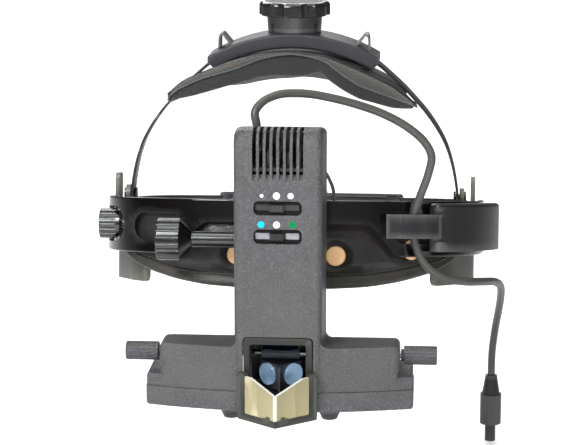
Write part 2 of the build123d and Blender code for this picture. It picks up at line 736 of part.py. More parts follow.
def band_rivets():
    def shank_and_heads(y, z, r, head_r, x0, x1, x2, x3):
        """Shank x0..x3 with heads x0..x1 and x2..x3."""
        return (cyl_x(x0, x3, y, z, r) + cyl_x(x0, x1, y, z, head_r)
                + cyl_x(x2, x3, y, z, head_r))

    strap = shank_and_heads(strap_lug_y, strap_lug_z, strap_rivet_r, 2.8, 76.9, 77.9, 82.05, 83.0)
    pivot = shank_and_heads(pivot_y, 0, pin_r, 4.0, 81.6, 82.8, 87.7, 88.8)
    return group(BAND * strap, mirrored(BAND * strap), BAND * pivot, mirrored(BAND * pivot))


def temple_knob():
    """Single knob on the wearer's right temple."""
    end = -92.6
    knob = (cyl_x(end, -82.6, temple_knob_y, 0, 7.2)
            + cyl_x(end, -74.5, temple_knob_y, 0, pin_r))
    for y, z in ring(18, 7.5):
        knob = knob - cyl_x(end, -84.5, temple_knob_y + y, z, .75)
    return BAND * rounded(knob, face_edges(knob, Axis.X, 0), .5, .2)


# ---------------------------------------------------------------- junction box, cable clip (left)
@cache
def level_junction_box():
    line = [(64.2, -89.6)] + [p for p in BAND_HALF if p[0] >= 69 and p[1] <= -40]
    box = strip_z(shift(line, -8.0), shift(line, -.05), -10.2, 22.2)
    upright = [e for e in box.edges() if rise(e) > 20]
    upright.sort(key=lambda e: math.hypot(e.center().X, e.center().Y))
    box = rounded(box, upright[-2:], 3.0, 2.0)
    box = rounded(box, face_edges(box, Axis.Z, -1), 1.8, 1.0)
    core_line = [p for p in line if p[0] > 74 and p[1] < -44]
    core = strip_z(shift(core_line, -6.2), shift(core_line, 1.0), -8.2, 18.2)
    # notch at the front end, where the cable passes
    notch = [(67.4, -99.5), (73.2, -99.5), (73.2, -93.0), (70.2, -91.4), (67.0, -93.6)]
    return box - core - prism_z(notch, -5.6, 8.6)


def junction_box():
    return BAND * level_junction_box()


def cable_clip():
    line = [(45.8, -104.2), (51, -104.5), (57, -103.9), (62, -102.0), (67, -98.6), (71.0, -94.6)]
    clip = strip_z(line, shift(line, 3.0), -4, 11.0)
    clip = clip + block(45.8, 49.2, -104.0, -99.6, -4, 7)
    corners = [e for e in clip.edges() if rise(e) > 10 and e.center().X < 46.2]
    clip = rounded(clip, corners, 1.5, .8)
    return BAND * largest(clip - level_junction_box())


# ---------------------------------------------------------------- supply cable, thin lead, plug
# Cable centre line (x, y, z), rear cover to plug.
CABLE_ROUTE = [
    (-12.4, -110.95, 59.0), (-12.4, -109.6, 59.15), (-12.5, -108.3, 61.6), (-12.9, -107.8, 67.6),
    (-13.7, -106.6, 72.6), (-10.2, -103.4, 77.2), (-3.3, -100.0, 79.9), (4.2, -97.0, 80.1),
    (11.4, -95.0, 79.4), (22.2, -93.0, 77.1), (33.1, -91.0, 73.9), (43.6, -90.0, 70.0),
    (54.6, -90.0, 64.1), (62.6, -91.0, 57.4), (65.9, -92.0, 51.0), (64.6, -93.0, 43.0),
    (60.6, -94.0, 31.5), (58.6, -95.1, 24.9), (58.2, -95.5, 14.7), (60.7, -96.7, 6.2),
    (65.7, -98.4, -.4), (72.9, -97.4, -4.9), (81.7, -91.5, -7.6), (90.5, -79, -10.5),
    (97.0, -60, -15), (100.5, -40, -22), (101.5, -20, -32), (101.2, -2, -44),
    (100.2, 12, -57), (99.2, 19, -70), (99, 20.5, -78), (99, 20.5, -84)]


def smooth(points, step):
    """Roughly even points along a centripetal Catmull-Rom curve through points."""
    def beyond(end, neighbour):
        return tuple(2 * a - b for a, b in zip(end, neighbour))

    def blend(a, b, ta, tb, t):
        return a * ((tb - t) / (tb - ta)) + b * ((t - ta) / (tb - ta))

    knots = [beyond(points[0], points[1]), *points, beyond(points[-1], points[-2])]
    dense = []
    for i in range(1, len(knots) - 2):
        p0, p1, p2, p3 = (Vector(*knots[i + k]) for k in (-1, 0, 1, 2))
        t0 = 0.0
        t1 = t0 + (p1 - p0).length ** .5
        t2 = t1 + (p2 - p1).length ** .5
        t3 = t2 + (p3 - p2).length ** .5
        for k in range(20):
            t = t1 + (t2 - t1) * k / 20
            a1 = blend(p0, p1, t0, t1, t)
            a2 = blend(p1, p2, t1, t2, t)
            a3 = blend(p2, p3, t2, t3, t)
            b1 = blend(a1, a2, t0, t2, t)
            b2 = blend(a2, a3, t1, t3, t)
            dense.append(blend(b1, b2, t1, t2, t))
    dense.append(Vector(*points[-1]))
    even, run = [dense[0]], 0.0
    for a, b in zip(dense, dense[1:]):
        run += (b - a).length
        if run >= step:
            even.append(b)
            run = 0.0
    if (even[-1] - dense[-1]).length < step * .6:
        even.pop()
    even.append(dense[-1])
    return [(v.X, v.Y, v.Z) for v in even]


def main_cable():
    path = Spline(*smooth(CABLE_ROUTE, 6.0))
    return sweep(Plane(origin=path @ 0, z_dir=path % 0) * Circle(1.9), path=path)


def thin_lead():
    path = Spline((14.5, -113.95, 49.5), (18.2, -110.6, 46.4), (20.6, -106.5, 41.0),
                  (21.6, -102.4, 36.6), (21.9, -99.4, 31.6), tangents=[(.35, 1, 0), (0, .2, -1)])
    lead = sweep(Plane(origin=path @ 0, z_dir=(0, 1, 0)) * Circle(.8), path=path)
    # keep it clear of the rear cover
    return lead - block(10, 20, -116, -113.98, 40, 60)


def power_plug():
    x, y, end_z = CABLE_ROUTE[-1]
    top = end_z - .12
    plug = (cyl_z(top - 10, top, x, y, 4.6, 3.0) + cyl_z(top - 26, top - 10, x, y, 5.5)
            + cyl_z(top - 35.5, top - 26, x, y, 2.75))
    return plug - cyl_z(top - 36, top - 26.5, x, y, 1.05)


# ================================================================ rear band
# Outer face of the left arm (x, y), temple to back.
ARM_LINE = [(85.2, -30), (85.2, -15), (85.2, 0), (85.2, 30), (84.5, 48), (82, 63), (76.5, 77),
            (68, 88), (57, 95.5), (44, 99.7), (30, 101.5), (21, 101.9)]
# Same curve behind the head, centre to side; a positive shift moves it away from the head.
HUB_LINE = [(0, 102.1), (10, 102.1), (21, 101.9), (30, 101.5), (44, 99.7), (50, 98.0)]
hub_z, hub_pin_r = 2.5, 3.0


def rear_arms():
    arm = strip_z(ARM_LINE, shift(ARM_LINE, 2.0), -6, 18.0)
    arm = arm - block(80, 90, -31, -15, 7, 13)
    return pair(BAND * (arm - cyl_x(80, 90, pivot_y, 0, pin_r + run_gap)))


def rear_housing():
    housing = strip_z(whole(shift(HUB_LINE, 4.2)), whole(shift(HUB_LINE, -6.5)), -9, 23.0)
    rims = [*face_edges(housing, Axis.Z, -1), *face_edges(housing, Axis.Z, 0)]
    housing = rounded(housing, rims, 1.6, 1.0)
    # clearance channels for both arms
    channel = (strip_z(shift(ARM_LINE, -.35), shift(ARM_LINE, 2.35), -6.3, 18.6)
               + block(18, 21.4, 99.4, 102.3, -6.3, 12.3))
    channels = pair(channel).solids()
    housing = housing - channels[0] - channels[1]
    return BAND * (housing - cyl_y(94, 108, 0, hub_z, hub_pin_r + run_gap))


def rear_pad():
    pad = strip_z(whole(shift(HUB_LINE, -6.8)), whole(shift(HUB_LINE, -14.8)), -22, 34.5)
    return BAND * rounded(pad, [e for e in pad.edges() if rise(e) > 30], 3.0, 2.0)


def rear_knob():
    knob = cyl_y(106.5, 120.5, 0, hub_z, 15.5)
    for x, z in ring(8, 18.6):
        knob = knob - cyl_y(106, 121, x, hub_z + z, 5.0)
    knob = rounded(knob, face_edges(knob, Axis.Y, -1), 1.5, .8)
    return BAND * (knob + cyl_y(95.6, 107, 0, hub_z, hub_pin_r))


# ================================================================ crown strap assembly
crown_pin_r, crown_boss_r = 2.5, 12.6


def crown_bracket():
    half_y = 14
    bracket = arc_slab(bracket_in, bracket_out, crown_c, 40.6, half_y)
    # undercut both ends to leave lips over the straps
    for side in (1, -1):
        undercut = [(34.4, 80), (34.4, arc_z(bracket_in, crown_c, 34.4)), (37.0, 84.9),
                    (40.8, 88.6), (45, 90), (45, 80)]
        bracket = bracket - prism_y([(side * x, z) for x, z in undercut], -80, 0)
    rims = [e for e in bracket.edges()
            if abs(abs(e.center().Y - crown_y) - half_y) < .05 and e.center().Z > 80]
    bracket = rounded(bracket, rims, 1.2, .7)
    bracket = bracket + cyl_z(99, 102.2, 0, crown_y, crown_boss_r)
    bracket = bracket - arc_slab(crown_r - .85, crown_r + .85, crown_c, 55, 7)
    return (bracket - cyl_z(95.9, 100.1, 0, crown_y, 5.3)
            - cyl_z(95, 104, 0, crown_y, crown_pin_r + run_gap))


def crown_plate():
    return arc_slab(crown_pad_r + .3, crown_pad_r + 1.6, crown_pad_c, 33.0, 16)


def crown_pad():
    return arc_slab(crown_pad_r - 10, crown_pad_r, crown_pad_c, 52.5, 24)


def crown_straps():
    # centre line (x, z): along the bracket arc, then down to the temple lug
    line = [(x, arc_z(crown_r, crown_c, x)) for x in (5.4, 14, 24, 33, 40.5)]
    line += [(46, 82.1), (52, 76.6), (58, 70.3), (64, 63.3), (69, 56.0), (72.6, 49.3),
             (75.4, 41.5), (77.4, 33.0), (78.6, 25), (78.8, 21), (78.8, 17.0)]
    strap = forward(strip(shift(line, -.6), shift(line, .6)), crown_y + 6.5, 13.0)
    y, z = tilted(strap_lug_y, strap_lug_z, TILT)
    return pair(strap - cyl_x(70, 85, y, z, strap_rivet_r + run_gap))


def strap_loops():
    def seat(x):
        """Point just above the bracket's outer face."""
        return x, arc_z(bracket_out, crown_c, x) + .02

    loop = [seat(29.6), (33.9, 101.6), (35.4, 101.2), (36.0, 99.2), seat(36.2),
            seat(35.4), (35.2, 99.0), (34.7, 100.4), (34.0, 100.5), seat(30.7)]
    return pair(prism_y(loop, crown_y - 6, crown_y + 6))


def crown_knob():
    knob = cyl_z(110.0, 116.6, 0, crown_y, 16.9)
    for x, y in ring(7, 20.9, math.pi / 7 - math.pi / 2):
        knob = knob - cyl_z(109, 118, x, crown_y + y, 5.6)
    knob = rounded(knob, face_edges(knob, Axis.Z, -1), 2.0, 1.4, .8)
    knob = rounded(knob, face_edges(knob, Axis.Z, 0), .6, .3)
    knob = knob + cyl_z(102.3, 110.2, 0, crown_y, crown_boss_r, 13.2)
    return knob + cyl_z(96.2, 103, 0, crown_y, crown_pin_r) + cyl_z(96.2, 99.7, 0, crown_y, 4.6)


# ================================================================ write the pieces
# Each file takes the name of the function that builds it.
PIECES = (
    optics_casing, base_cover, guide_rods, rear_cover, cover_screws, window_bezel,
    heat_sink, lamp_board, condenser_tube, condenser_lens, projector_tube, projector_lens,
    slide_guide, aperture_slider, filter_slider, filter_glass_blue, filter_glass_green,
    beam_shaft, beam_knobs, beam_mirror_holder, beam_mirror, view_mirror_holder, view_mirrors,
    teaching_frame, teaching_panes, front_band, brow_pad, pad_studs, tilt_bracket, clamp_rod,
    clamp_knob, temple_plates, band_rivets, temple_knob, junction_box, cable_clip, main_cable,
    thin_lead, power_plug, rear_arms, rear_housing, rear_pad, rear_knob, crown_bracket,
    crown_plate, crown_pad, crown_straps, strap_loops, crown_knob)
# Built on the wearer's left and mirrored to the right.
SIDED = (eyepiece_carriage, fold_mirror, eyepiece_lens, eyecup, pd_knob)


def save(name, shape):
    shape.label = name
    export_step(shape, f"parts/{name}.step")


os.makedirs("parts", exist_ok=True)
for build in PIECES:
    save(build.__name__, build())
for build in SIDED:
    left_piece = build()
    save(build.__name__ + "_left", left_piece)
    save(build.__name__ + "_right", mirrored(left_piece))
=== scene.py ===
# A head-worn optical set: headband with brow pad, crown saddle on straps, rear pad on two arms,
# and an optics tower over the brow. The rigid pieces come from CAD; this script gives them their
# finishes and builds the pads, straps, arms, cables and printed dots.
# World: metres, +Z up, the front of the set faces -Y, and "left" pieces lie on -X.
# Shapes are measured in millimetres. Headband and rear pieces use the band frame, which is
# tilted about X so that its plane rises towards the front.
import bpy
import bmesh
import json
import math
import random
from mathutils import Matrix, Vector, noise


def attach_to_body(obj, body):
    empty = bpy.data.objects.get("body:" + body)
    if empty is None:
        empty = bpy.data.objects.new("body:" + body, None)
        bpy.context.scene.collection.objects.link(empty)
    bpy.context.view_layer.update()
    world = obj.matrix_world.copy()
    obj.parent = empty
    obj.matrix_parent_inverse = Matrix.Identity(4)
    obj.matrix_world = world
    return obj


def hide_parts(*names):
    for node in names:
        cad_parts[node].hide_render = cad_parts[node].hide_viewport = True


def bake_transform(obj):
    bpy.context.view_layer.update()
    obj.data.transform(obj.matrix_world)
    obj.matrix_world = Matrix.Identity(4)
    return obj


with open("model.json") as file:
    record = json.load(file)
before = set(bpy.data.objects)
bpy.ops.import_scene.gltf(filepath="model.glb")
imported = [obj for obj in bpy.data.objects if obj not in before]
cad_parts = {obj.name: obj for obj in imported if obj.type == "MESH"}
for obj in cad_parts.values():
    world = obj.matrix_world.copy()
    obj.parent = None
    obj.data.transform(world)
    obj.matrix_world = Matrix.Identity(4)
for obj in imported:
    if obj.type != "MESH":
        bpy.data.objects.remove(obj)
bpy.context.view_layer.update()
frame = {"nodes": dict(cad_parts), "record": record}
parts = frame["nodes"]
scene = bpy.context.scene
random.seed(7)

MM = 0.001
BAND_TILT = math.radians(10.3)
SIDES = (("left", -1), ("right", 1))


# ------------------------------------------------------------------ numbers and places
def millimetres(x, y, z):
    """World point from millimetres."""
    return Vector((x, y, z)) * MM


def band_point(x, y, z):
    """World point from millimetres in the tilted band frame."""
    cos, sin = math.cos(BAND_TILT), math.sin(BAND_TILT)
    return Vector((x, y * cos + z * sin, -y * sin + z * cos)) * MM


def smoothstep(start, end, x):
    """0 at start, 1 at end, eased; start may be the larger."""
    share = min(max((x - start) / (end - start), 0.0), 1.0)
    return share * share * (3 - 2 * share)


def interpolate(table, x):
    if x <= table[0][0]:
        return table[0][1]
    for (x0, y0), (x1, y1) in zip(table, table[1:]):
        if x <= x1:
            share = (x - x0) / (x1 - x0)
            return y0 + (y1 - y0) * share
    return table[-1][1]


def smooth_table(table, width=3.0):
    """A function of x that follows the table through a weighted moving average."""
    def value(x):
        total = weights = 0.0
        for i in range(-4, 5):
            weight = math.exp(-(i / 2.2) ** 2)
            total += weight * interpolate(table, x + i * width * .5)
            weights += weight
        return total / weights
    return value


# ------------------------------------------------------------------ shader builder
BLACK = (0, 0, 0, 1)
WHITE = (1, 1, 1, 1)


def srgb(colour):
    """Linear RGBA from 0..255 sRGB."""
    def linear(value):
        value = value / 255.0
        return value / 12.92 if value <= 0.04045 else ((value + 0.055) / 1.055) ** 2.4
    return tuple(linear(value) for value in colour) + (1.0,)


def darker(colour, factor):
    return tuple(value * factor for value in colour[:3]) + (1,)


def feed(socket, value):
    """Link an output into the input socket, or give it a plain value."""
    if isinstance(value, bpy.types.NodeSocket):
        socket.id_data.links.new(value, socket)
    else:
        socket.default_value = value


def add_node(tree, kind, inputs=None, **settings):
    node = tree.nodes.new("ShaderNode" + kind)
    for key, value in settings.items():
        setattr(node, key, value)
    for key, value in (inputs or {}).items():
        feed(node.inputs[key], value)
    return node


class Shader:
    """A Principled material, with short calls that add nodes to it."""

    def __init__(self, name):
        self.material = bpy.data.materials.new(name)
        self.material.use_nodes = True
        self.tree = self.material.node_tree
        self.tree.nodes.clear()
        output = self.add("OutputMaterial")
        self.principled = self.add("BsdfPrincipled")
        feed(output.inputs[0], self.principled.outputs[0])
        self.position = self.add("TexCoord").outputs["Object"]
        self.normal = None

    def add(self, kind, inputs=None, **settings):
        return add_node(self.tree, kind, inputs, **settings)

    def set(self, key, value):
        feed(self.principled.inputs[key], value)

    def noise(self, scale, detail=2, roughness=.5, vector=None):
        return self.add("TexNoise", {"Scale": scale, "Detail": detail, "Roughness": roughness,
                                     "Vector": vector or self.position}).outputs["Fac"]

    def voronoi(self, scale, feature="F1"):
        node = self.add("TexVoronoi", feature=feature)
        feed(node.inputs["Scale"], scale)
        feed(node.inputs["Vector"], self.position)
        return node.outputs["Distance"]

    def wave(self, scale, direction, distortion, profile="SIN"):
        inputs = {"Scale": scale, "Distortion": distortion, "Vector": self.position}
        return self.add("TexWave", inputs, bands_direction=direction,
                        wave_profile=profile).outputs["Fac"]

    def ramp(self, value, stops):
        node = self.add("ValToRGB", {"Fac": value})
        elements = node.color_ramp.elements
        while len(elements) > 1:
            elements.remove(elements[-1])
        elements[0].position, elements[0].color = stops[0]
        for position, colour in stops[1:]:
            elements.new(position).color = colour
        return node.outputs["Color"]

    def mask(self, value, low, high):
        """Black up to low, white from high."""
        return self.ramp(value, [(low, BLACK), (high, WHITE)])

    def calc(self, operation, first, second=None):
        inputs = {0: first} if second is None else {0: first, 1: second}
        return self.add("Math", inputs, operation=operation).outputs[0]

    def times(self, first, second):
        return self.calc("MULTIPLY", first, second)

    def plus(self, first, second):
        return self.calc("ADD", first, second)

    def mix(self, share, first, second):
        """Colour mix; Mix sockets 6, 7 and output 2 are its colour ones."""
        return self.add("Mix", {0: share, 6: first, 7: second}, data_type="RGBA").outputs[2]

    def separate(self, vector):
        return self.add("SeparateXYZ", {0: vector}).outputs

    def edge_wear(self):
        """0..1, high on convex edges."""
        return self.mask(self.add("NewGeometry").outputs["Pointiness"], .52, .60)

    def roughness(self, texture, spread, low):
        self.set("Roughness", self.plus(self.times(texture, spread), low))

    def bevel(self, radius):
        """Rounds the shading of hard edges; radius in metres. Goes before any bump."""
        self.normal = self.add("Bevel", {"Radius": radius}, samples=4).outputs[0]
        self.set("Normal", self.normal)

    def bump(self, height, strength, distance):
        """Adds a bump over those already there; distance in metres."""
        inputs = {"Strength": strength, "Distance": distance, "Height": height}
        if self.normal is not None:
            inputs["Normal"] = self.normal
        self.normal = self.add("Bump", inputs).outputs[0]
        self.set("Normal", self.normal)


# ------------------------------------------------------------------ materials
def plastic(name, base, light, rough, grain=0.0, scale=2600, bump=.2, edge=None, coat=0.0,
            bevel=.00025, speckle=0.0, variation=.25):
    """Moulded plastic. grain: depth in metres of the moulded texture, scale: its fineness,
    edge: colour of worn edges, speckle: share of light specks, variation: cloudy lightening."""
    shader = Shader(name)
    light = srgb(light)
    clouds = shader.noise(60, detail=3, roughness=.6)
    colour = shader.mix(shader.times(clouds, variation * 2), srgb(base), light)
    if speckle:
        specks = shader.mask(shader.noise(scale * .8, roughness=.7), .52, .66)
        colour = shader.mix(shader.times(specks, speckle), colour, light)
    if edge:
        colour = shader.mix(shader.times(shader.edge_wear(), .55), colour, srgb(edge))
    shader.set("Base Color", colour)
    shader.roughness(shader.noise(scale * .5), spread=.18, low=rough - .09)
    shader.set("Coat Weight", coat)
    if coat:
        shader.set("Coat Roughness", .08)
    if bevel:
        shader.bevel(bevel)
    if grain:
        shader.bump(shader.noise(scale, roughness=.6), strength=bump, distance=grain)
        shader.bump(shader.voronoi(scale * .55), strength=bump * .8, distance=grain)
    else:
        shader.bump(clouds, strength=.02, distance=.0005)
    return shader


def metal(name, base, rough):
    """Metal brushed along X."""
    shader = Shader(name)
    base = srgb(base)
    stretched = shader.add("Mapping", {"Scale": (.05, 1, 1), "Vector": shader.position})
    brushing = shader.noise(900, detail=3, roughness=.6, vector=stretched.outputs[0])
    shader.set("Base Color", shader.mix(brushing, darker(base, .72), base))
    shader.set("Metallic", 1.0)
    shader.roughness(brushing, spread=.16, low=rough - .08)
    shader.bevel(.00025)
    shader.bump(brushing, strength=.08, distance=.0001)
    return shader


def lens(name, tint):
    shader = Shader(name)
    tint = srgb(tint)
    # Painted reflection: the glass is darkened face-on and lighter towards grazing angles, a
    # sheen painted into its colour.
    grazing_sheen = shader.add("LayerWeight", {"Blend": .35}).outputs["Facing"]
    shader.set("Base Color", shader.mix(grazing_sheen, darker(tint, .25), tint))
    shader.roughness(shader.noise(300), spread=.03, low=.02)
    shader.set("Coat Weight", 1.0)
    shader.set("IOR", 1.6)
    shader.bump(shader.noise(200, detail=1), strength=.01, distance=.0002)
    return shader


def mirror(name, glow):
    """Pale blue mirror; glow is the strength of a sky-like painted reflection, shown as its own
    emission.
    """
    shader = Shader(name)
    clouds = shader.noise(40)
    colour = shader.mix(clouds, srgb((150, 176, 205)), srgb((196, 214, 232)))
    shader.set("Base Color", colour)
    shader.set("Metallic", .85)
    shader.roughness(shader.noise(900), spread=.04, low=.06)
    # Painted reflection: a sky-like blend of blues given out as emission.
    painted_sky_reflection = shader.ramp(shader.noise(90, detail=1, roughness=.4),
                        [(.35, srgb((62, 88, 116))), (.62, srgb((150, 184, 214)))])
    shader.set("Emission Color", painted_sky_reflection)
    shader.set("Emission Strength", glow)
    shader.bevel(.0002)
    shader.bump(clouds, strength=.01, distance=.0003)
    return shader


def pane():
    """Half silvered glass with ground white edges and a pale strip down the spine."""
    shader = Shader("teaching_pane")
    x, _, z = shader.separate(shader.position)
    from_spine = shader.calc("ABSOLUTE", x)
    bands = shader.wave(38, "X", distortion=1.2, profile="SAW")
    height = shader.times(shader.plus(z, .0545), 50.0)      # 0 at z = -54.5 mm, 1 at 20 mm above
    colour = shader.mix(bands, srgb((138, 129, 94)), srgb((156, 147, 112)))
    colour = shader.mix(shader.times(height, .75), colour, srgb((128, 122, 90)))
    streaks = shader.mask(shader.noise(70, detail=1, roughness=.4), .60, .72)
    colour = shader.mix(shader.times(streaks, .3), colour, srgb((226, 220, 190)))
    spine = shader.calc("LESS_THAN", from_spine, .0008)
    colour = shader.mix(shader.times(spine, .8), colour, srgb((226, 226, 214)))
    world_normal = shader.add("NewGeometry").outputs["True Normal"]
    normal = shader.add("VectorTransform", {0: world_normal}, vector_type="NORMAL",
                        convert_from="WORLD", convert_to="OBJECT").outputs[0]
    upright = shader.calc("ABSOLUTE", shader.separate(normal)[2])
    edge = shader.calc("GREATER_THAN", upright, .25)
    shader.set("Base Color", shader.mix(edge, colour, srgb((206, 206, 198))))
    shader.roughness(edge, spread=.5, low=.12)
    shader.set("Coat Weight", .35)
    shader.bump(shader.noise(500), strength=.02, distance=.0001)
    return shader


def leather(name, base, light, rough, scale):
    """Leather; scale is the fineness of its pebbles."""
    shader = Shader(name)
    light = srgb(light)
    pebbles = shader.voronoi(scale, "SMOOTH_F1")
    pores = shader.voronoi(scale * 2.3)
    clouds = shader.noise(35, detail=3, roughness=.6)
    colour = shader.mix(clouds, srgb(base), light)
    creases = shader.times(shader.mask(pebbles, .25, .6), .35)
    shader.set("Base Color", shader.mix(creases, colour, light))
    shader.roughness(clouds, spread=.2, low=rough - .1)
    shader.set("Sheen Weight", .05)
    shader.bump(pebbles, strength=.35, distance=.0004)
    shader.bump(pores, strength=.25, distance=.0002)
    shader.bump(shader.noise(2500), strength=.1, distance=.0001)
    shader.bump(shader.noise(90), strength=.25, distance=.0012)
    return shader


def knit(name, base, light, scale):
    """Knitted cloth; scale is the fineness of the stitches."""
    shader = Shader(name)
    base, light = srgb(base), srgb(light)
    stitches = shader.times(shader.wave(scale, "DIAGONAL", distortion=.8),
                            shader.wave(scale, "Z", distortion=1.2))
    fuzz = shader.noise(1600, detail=3, roughness=.7)
    colour = shader.mix(stitches, base, light)
    colour = shader.mix(shader.times(fuzz, .5), colour, base)
    patches = shader.mask(shader.noise(28, detail=3), .45, .7)
    shader.set("Base Color", shader.mix(shader.times(patches, .35), colour, light))
    shader.set("Roughness", .85)
    shader.set("Sheen Weight", .25)
    shader.bump(stitches, strength=.6, distance=.0005)
    shader.bump(fuzz, strength=.4, distance=.0004)
    return shader


def print_ink(name, colour):
    shader = Shader(name)
    colour = srgb(colour)
    shader.set("Base Color", shader.mix(shader.noise(1500), darker(colour, .88), colour))
    shader.set("Roughness", .6)
    shader.set("Specular IOR Level", .12)
    shader.bump(shader.noise(1500), strength=.2, distance=.0001)
    return shader


def plate_and_thumb():
    """Light blank plate behind the filter slot, black moulded thumb in front of it."""
    shader = Shader("filter_plate_and_thumb")
    x, y, _ = shader.separate(shader.position)
    behind = shader.calc("GREATER_THAN", y, -.15170)
    from_middle = shader.calc("ABSOLUTE", shader.plus(x, -.0003))
    stem = shader.calc("LESS_THAN", from_middle, .0030)
    plate = shader.times(behind, shader.calc("SUBTRACT", 1.0, stem))
    dark = shader.mix(shader.noise(900), srgb((18, 18, 19)), srgb((40, 40, 42)))
    pale = shader.mix(shader.noise(700), srgb((128, 128, 135)), srgb((158, 158, 165)))
    shader.set("Base Color", shader.mix(plate, dark, pale))
    shader.roughness(shader.noise(500), spread=.2, low=.35)
    shader.bevel(.00015)
    shader.bump(shader.noise(2400), strength=.1, distance=.00004)
    return shader


def shade_recesses(shader):
    """Darkens the moulded recesses and slots of the tower front with painted shade, and lowers
    their specular.
    """
    colour = shader.principled.inputs["Base Color"].links[0].from_socket
    x, y, z = shader.separate(shader.add("TexCoord").outputs["Object"])
    deep = shader.times(shader.calc("GREATER_THAN", y, -.15385),
                        shader.calc("LESS_THAN", y, -.1490))
    wide = shader.calc("LESS_THAN", shader.calc("ABSOLUTE", x), .0108)

    def row(height, half_height):
        from_row = shader.calc("ABSOLUTE", shader.plus(z, -height))
        return shader.calc("LESS_THAN", from_row, half_height)

    rows = shader.calc("MAXIMUM", row(.0382, .0034), row(.02565, .0035))
    recess = shader.times(shader.times(deep, wide), rows)
    # Painted shade: the recesses are mixed towards near-black and lose most of their specular.
    shader.set("Base Color", shader.mix(shader.times(recess, .9), colour, srgb((12, 12, 12))))
    shader.set("Specular IOR Level", shader.calc("SUBTRACT", .5, shader.times(recess, .45)))


SHADERS = {
    "casing": plastic("casing_grain", (42, 41, 45), (98, 97, 103), rough=.40, grain=.00035,
                      scale=1700, bump=1.0, edge=(74, 75, 70), speckle=.85, bevel=.0004),
    "band_gloss": plastic("band_gloss", (7, 6, 6), (20, 15, 15), rough=.14, coat=.3,
                          edge=(58, 58, 58), variation=.15),
    "dark_plastic": plastic("dark_plastic", (22, 22, 24), (42, 42, 45), rough=.36,
                            grain=.00008, edge=(96, 96, 94)),
    "bracket_grey": plastic("bracket_grey", (32, 32, 37), (54, 53, 60), rough=.55, grain=.0001,
                            scale=2400, bump=.25, edge=(112, 112, 118), speckle=.2),
    "frame_olive": plastic("frame_olive", (27, 27, 25), (45, 46, 42), rough=.5, grain=.00008,
                           scale=2400, edge=(72, 74, 67)),
    "dark_metal": metal("dark_metal", (92, 94, 92), rough=.22),
    "steel": metal("steel", (190, 191, 193), rough=.2),
    "aluminium": metal("aluminium", (200, 200, 202), rough=.3),
    "black_anodised": plastic("black_anodised", (20, 21, 24), (38, 39, 44), rough=.32,
                              grain=.00004, scale=3000, bump=.15, edge=(70, 72, 78)),
    "rubber": plastic("rubber", (24, 24, 24), (40, 40, 40), rough=.62, grain=.00006, bump=.3,
                      edge=(58, 58, 58)),
    "cable": plastic("cable_jacket", (58, 59, 56), (86, 87, 83), rough=.38, grain=.00004,
                     scale=3200, bevel=0),
    "stud_tan": plastic("stud_tan", (200, 155, 103), (222, 184, 134), rough=.3, coat=.3,
                        edge=(232, 200, 160), variation=.4),
    "strap": plastic("strap_satin", (26, 26, 28), (50, 50, 52), rough=.34, grain=.00006,
                     scale=2200, edge=(110, 110, 108)),
    "arm": plastic("rear_arm_grey", (40, 41, 39), (62, 63, 60), rough=.42, grain=.00006,
                   scale=2200, edge=(200, 200, 200)),
    "lens_glass": lens("coated_lens", (34, 52, 96)),
    "blue_glass": lens("blue_glass", (30, 110, 220)),
    "green_glass": lens("green_glass", (20, 150, 80)),
    "mirror": mirror("mirror_blue", glow=0.0),
    "pane_glass": pane(),
    "leather": leather("black_leather", (15, 14, 14), (38, 36, 34), rough=.38, scale=750),
    "leather_roll": leather("leather_roll", (28, 27, 24), (56, 54, 48), rough=.48, scale=1100),
    "knit": knit("dark_knit", (30, 32, 30), (45, 47, 45), scale=598),
    "boxing": knit("boxing_pile", (56, 55, 52), (98, 95, 88), scale=506),
    "piping": knit("piping_grey", (58, 64, 66), (104, 111, 113), scale=575),
    "cap": leather("pad_cap_black", (12, 12, 13), (26, 26, 28), rough=.4, scale=900),
    "print_white": print_ink("print_white", (235, 238, 240)),
    "print_cyan": print_ink("print_cyan", (20, 176, 235)),
    "print_green": print_ink("print_green", (0, 118, 62)),
}
MATERIALS = {slot: shader.material for slot, shader in SHADERS.items()}


def finish_cad_parts():
    """Each CAD part gets the finish of its slot."""
    slot_of = {part["node"]: part["material_slot"] for part in frame["record"]["subparts"]}
    for node, ob in parts.items():
        material = MATERIALS.get(slot_of[node], MATERIALS["dark_plastic"])
        if not ob.material_slots:
            ob.data.materials.append(material)
        for slot in ob.material_slots:
            slot.material = material


def refinish(node, shader):
    """Gives one CAD part a finish of its own."""
    parts[node].data.materials.clear()
    parts[node].data.materials.append(shader.material)


finish_cad_parts()
refinish("filter_slider", plate_and_thumb())
# The view mirrors glow with a painted reflection (emission strength .62).
refinish("view_mirrors", mirror("view_mirror_painted_reflection", glow=.62))
# The beam mirror is dark glass instead of a mirror: painted shade in place of its reflection of
# the shaded opening.
refinish("beam_mirror", lens("beam_mirror_painted_dark_reflection", (14, 20, 36)))
refinish("crown_knob", plastic("crown_knob_gloss", (20, 19, 19), (40, 38, 38), rough=.2,
                               coat=.3, edge=(112, 112, 112), variation=.3))
refinish("temple_plates", plastic("temple_plate_satin", (46, 47, 40), (72, 74, 64), rough=.38,
                                  grain=.00006, scale=2200, edge=(116, 118, 108)))
refinish("aperture_slider", plastic("aperture_slider_black", (5, 5, 6), (15, 15, 16), rough=.5,
                                    grain=.00005, edge=(70, 70, 70)))
shade_recesses(SHADERS["casing"])


# ------------------------------------------------------------------ mesh helpers
def add_mesh(name, mesh, material, smooth=True):
    """Object from a (vertices, faces) pair."""
    vertices, faces = mesh
    data = bpy.data.meshes.new(name)
    data.from_pydata([tuple(v) for v in vertices], [], faces)
    data.validate()
    bm = bmesh.new()
    bm.from_mesh(data)
    bmesh.ops.recalc_face_normals(bm, faces=bm.faces)
    bm.to_mesh(data)
    bm.free()
    ob = bpy.data.objects.new(name, data)
    bpy.context.collection.objects.link(ob)
    data.materials.append(material)
    for polygon in data.polygons:
        polygon.use_smooth = smooth
    return ob


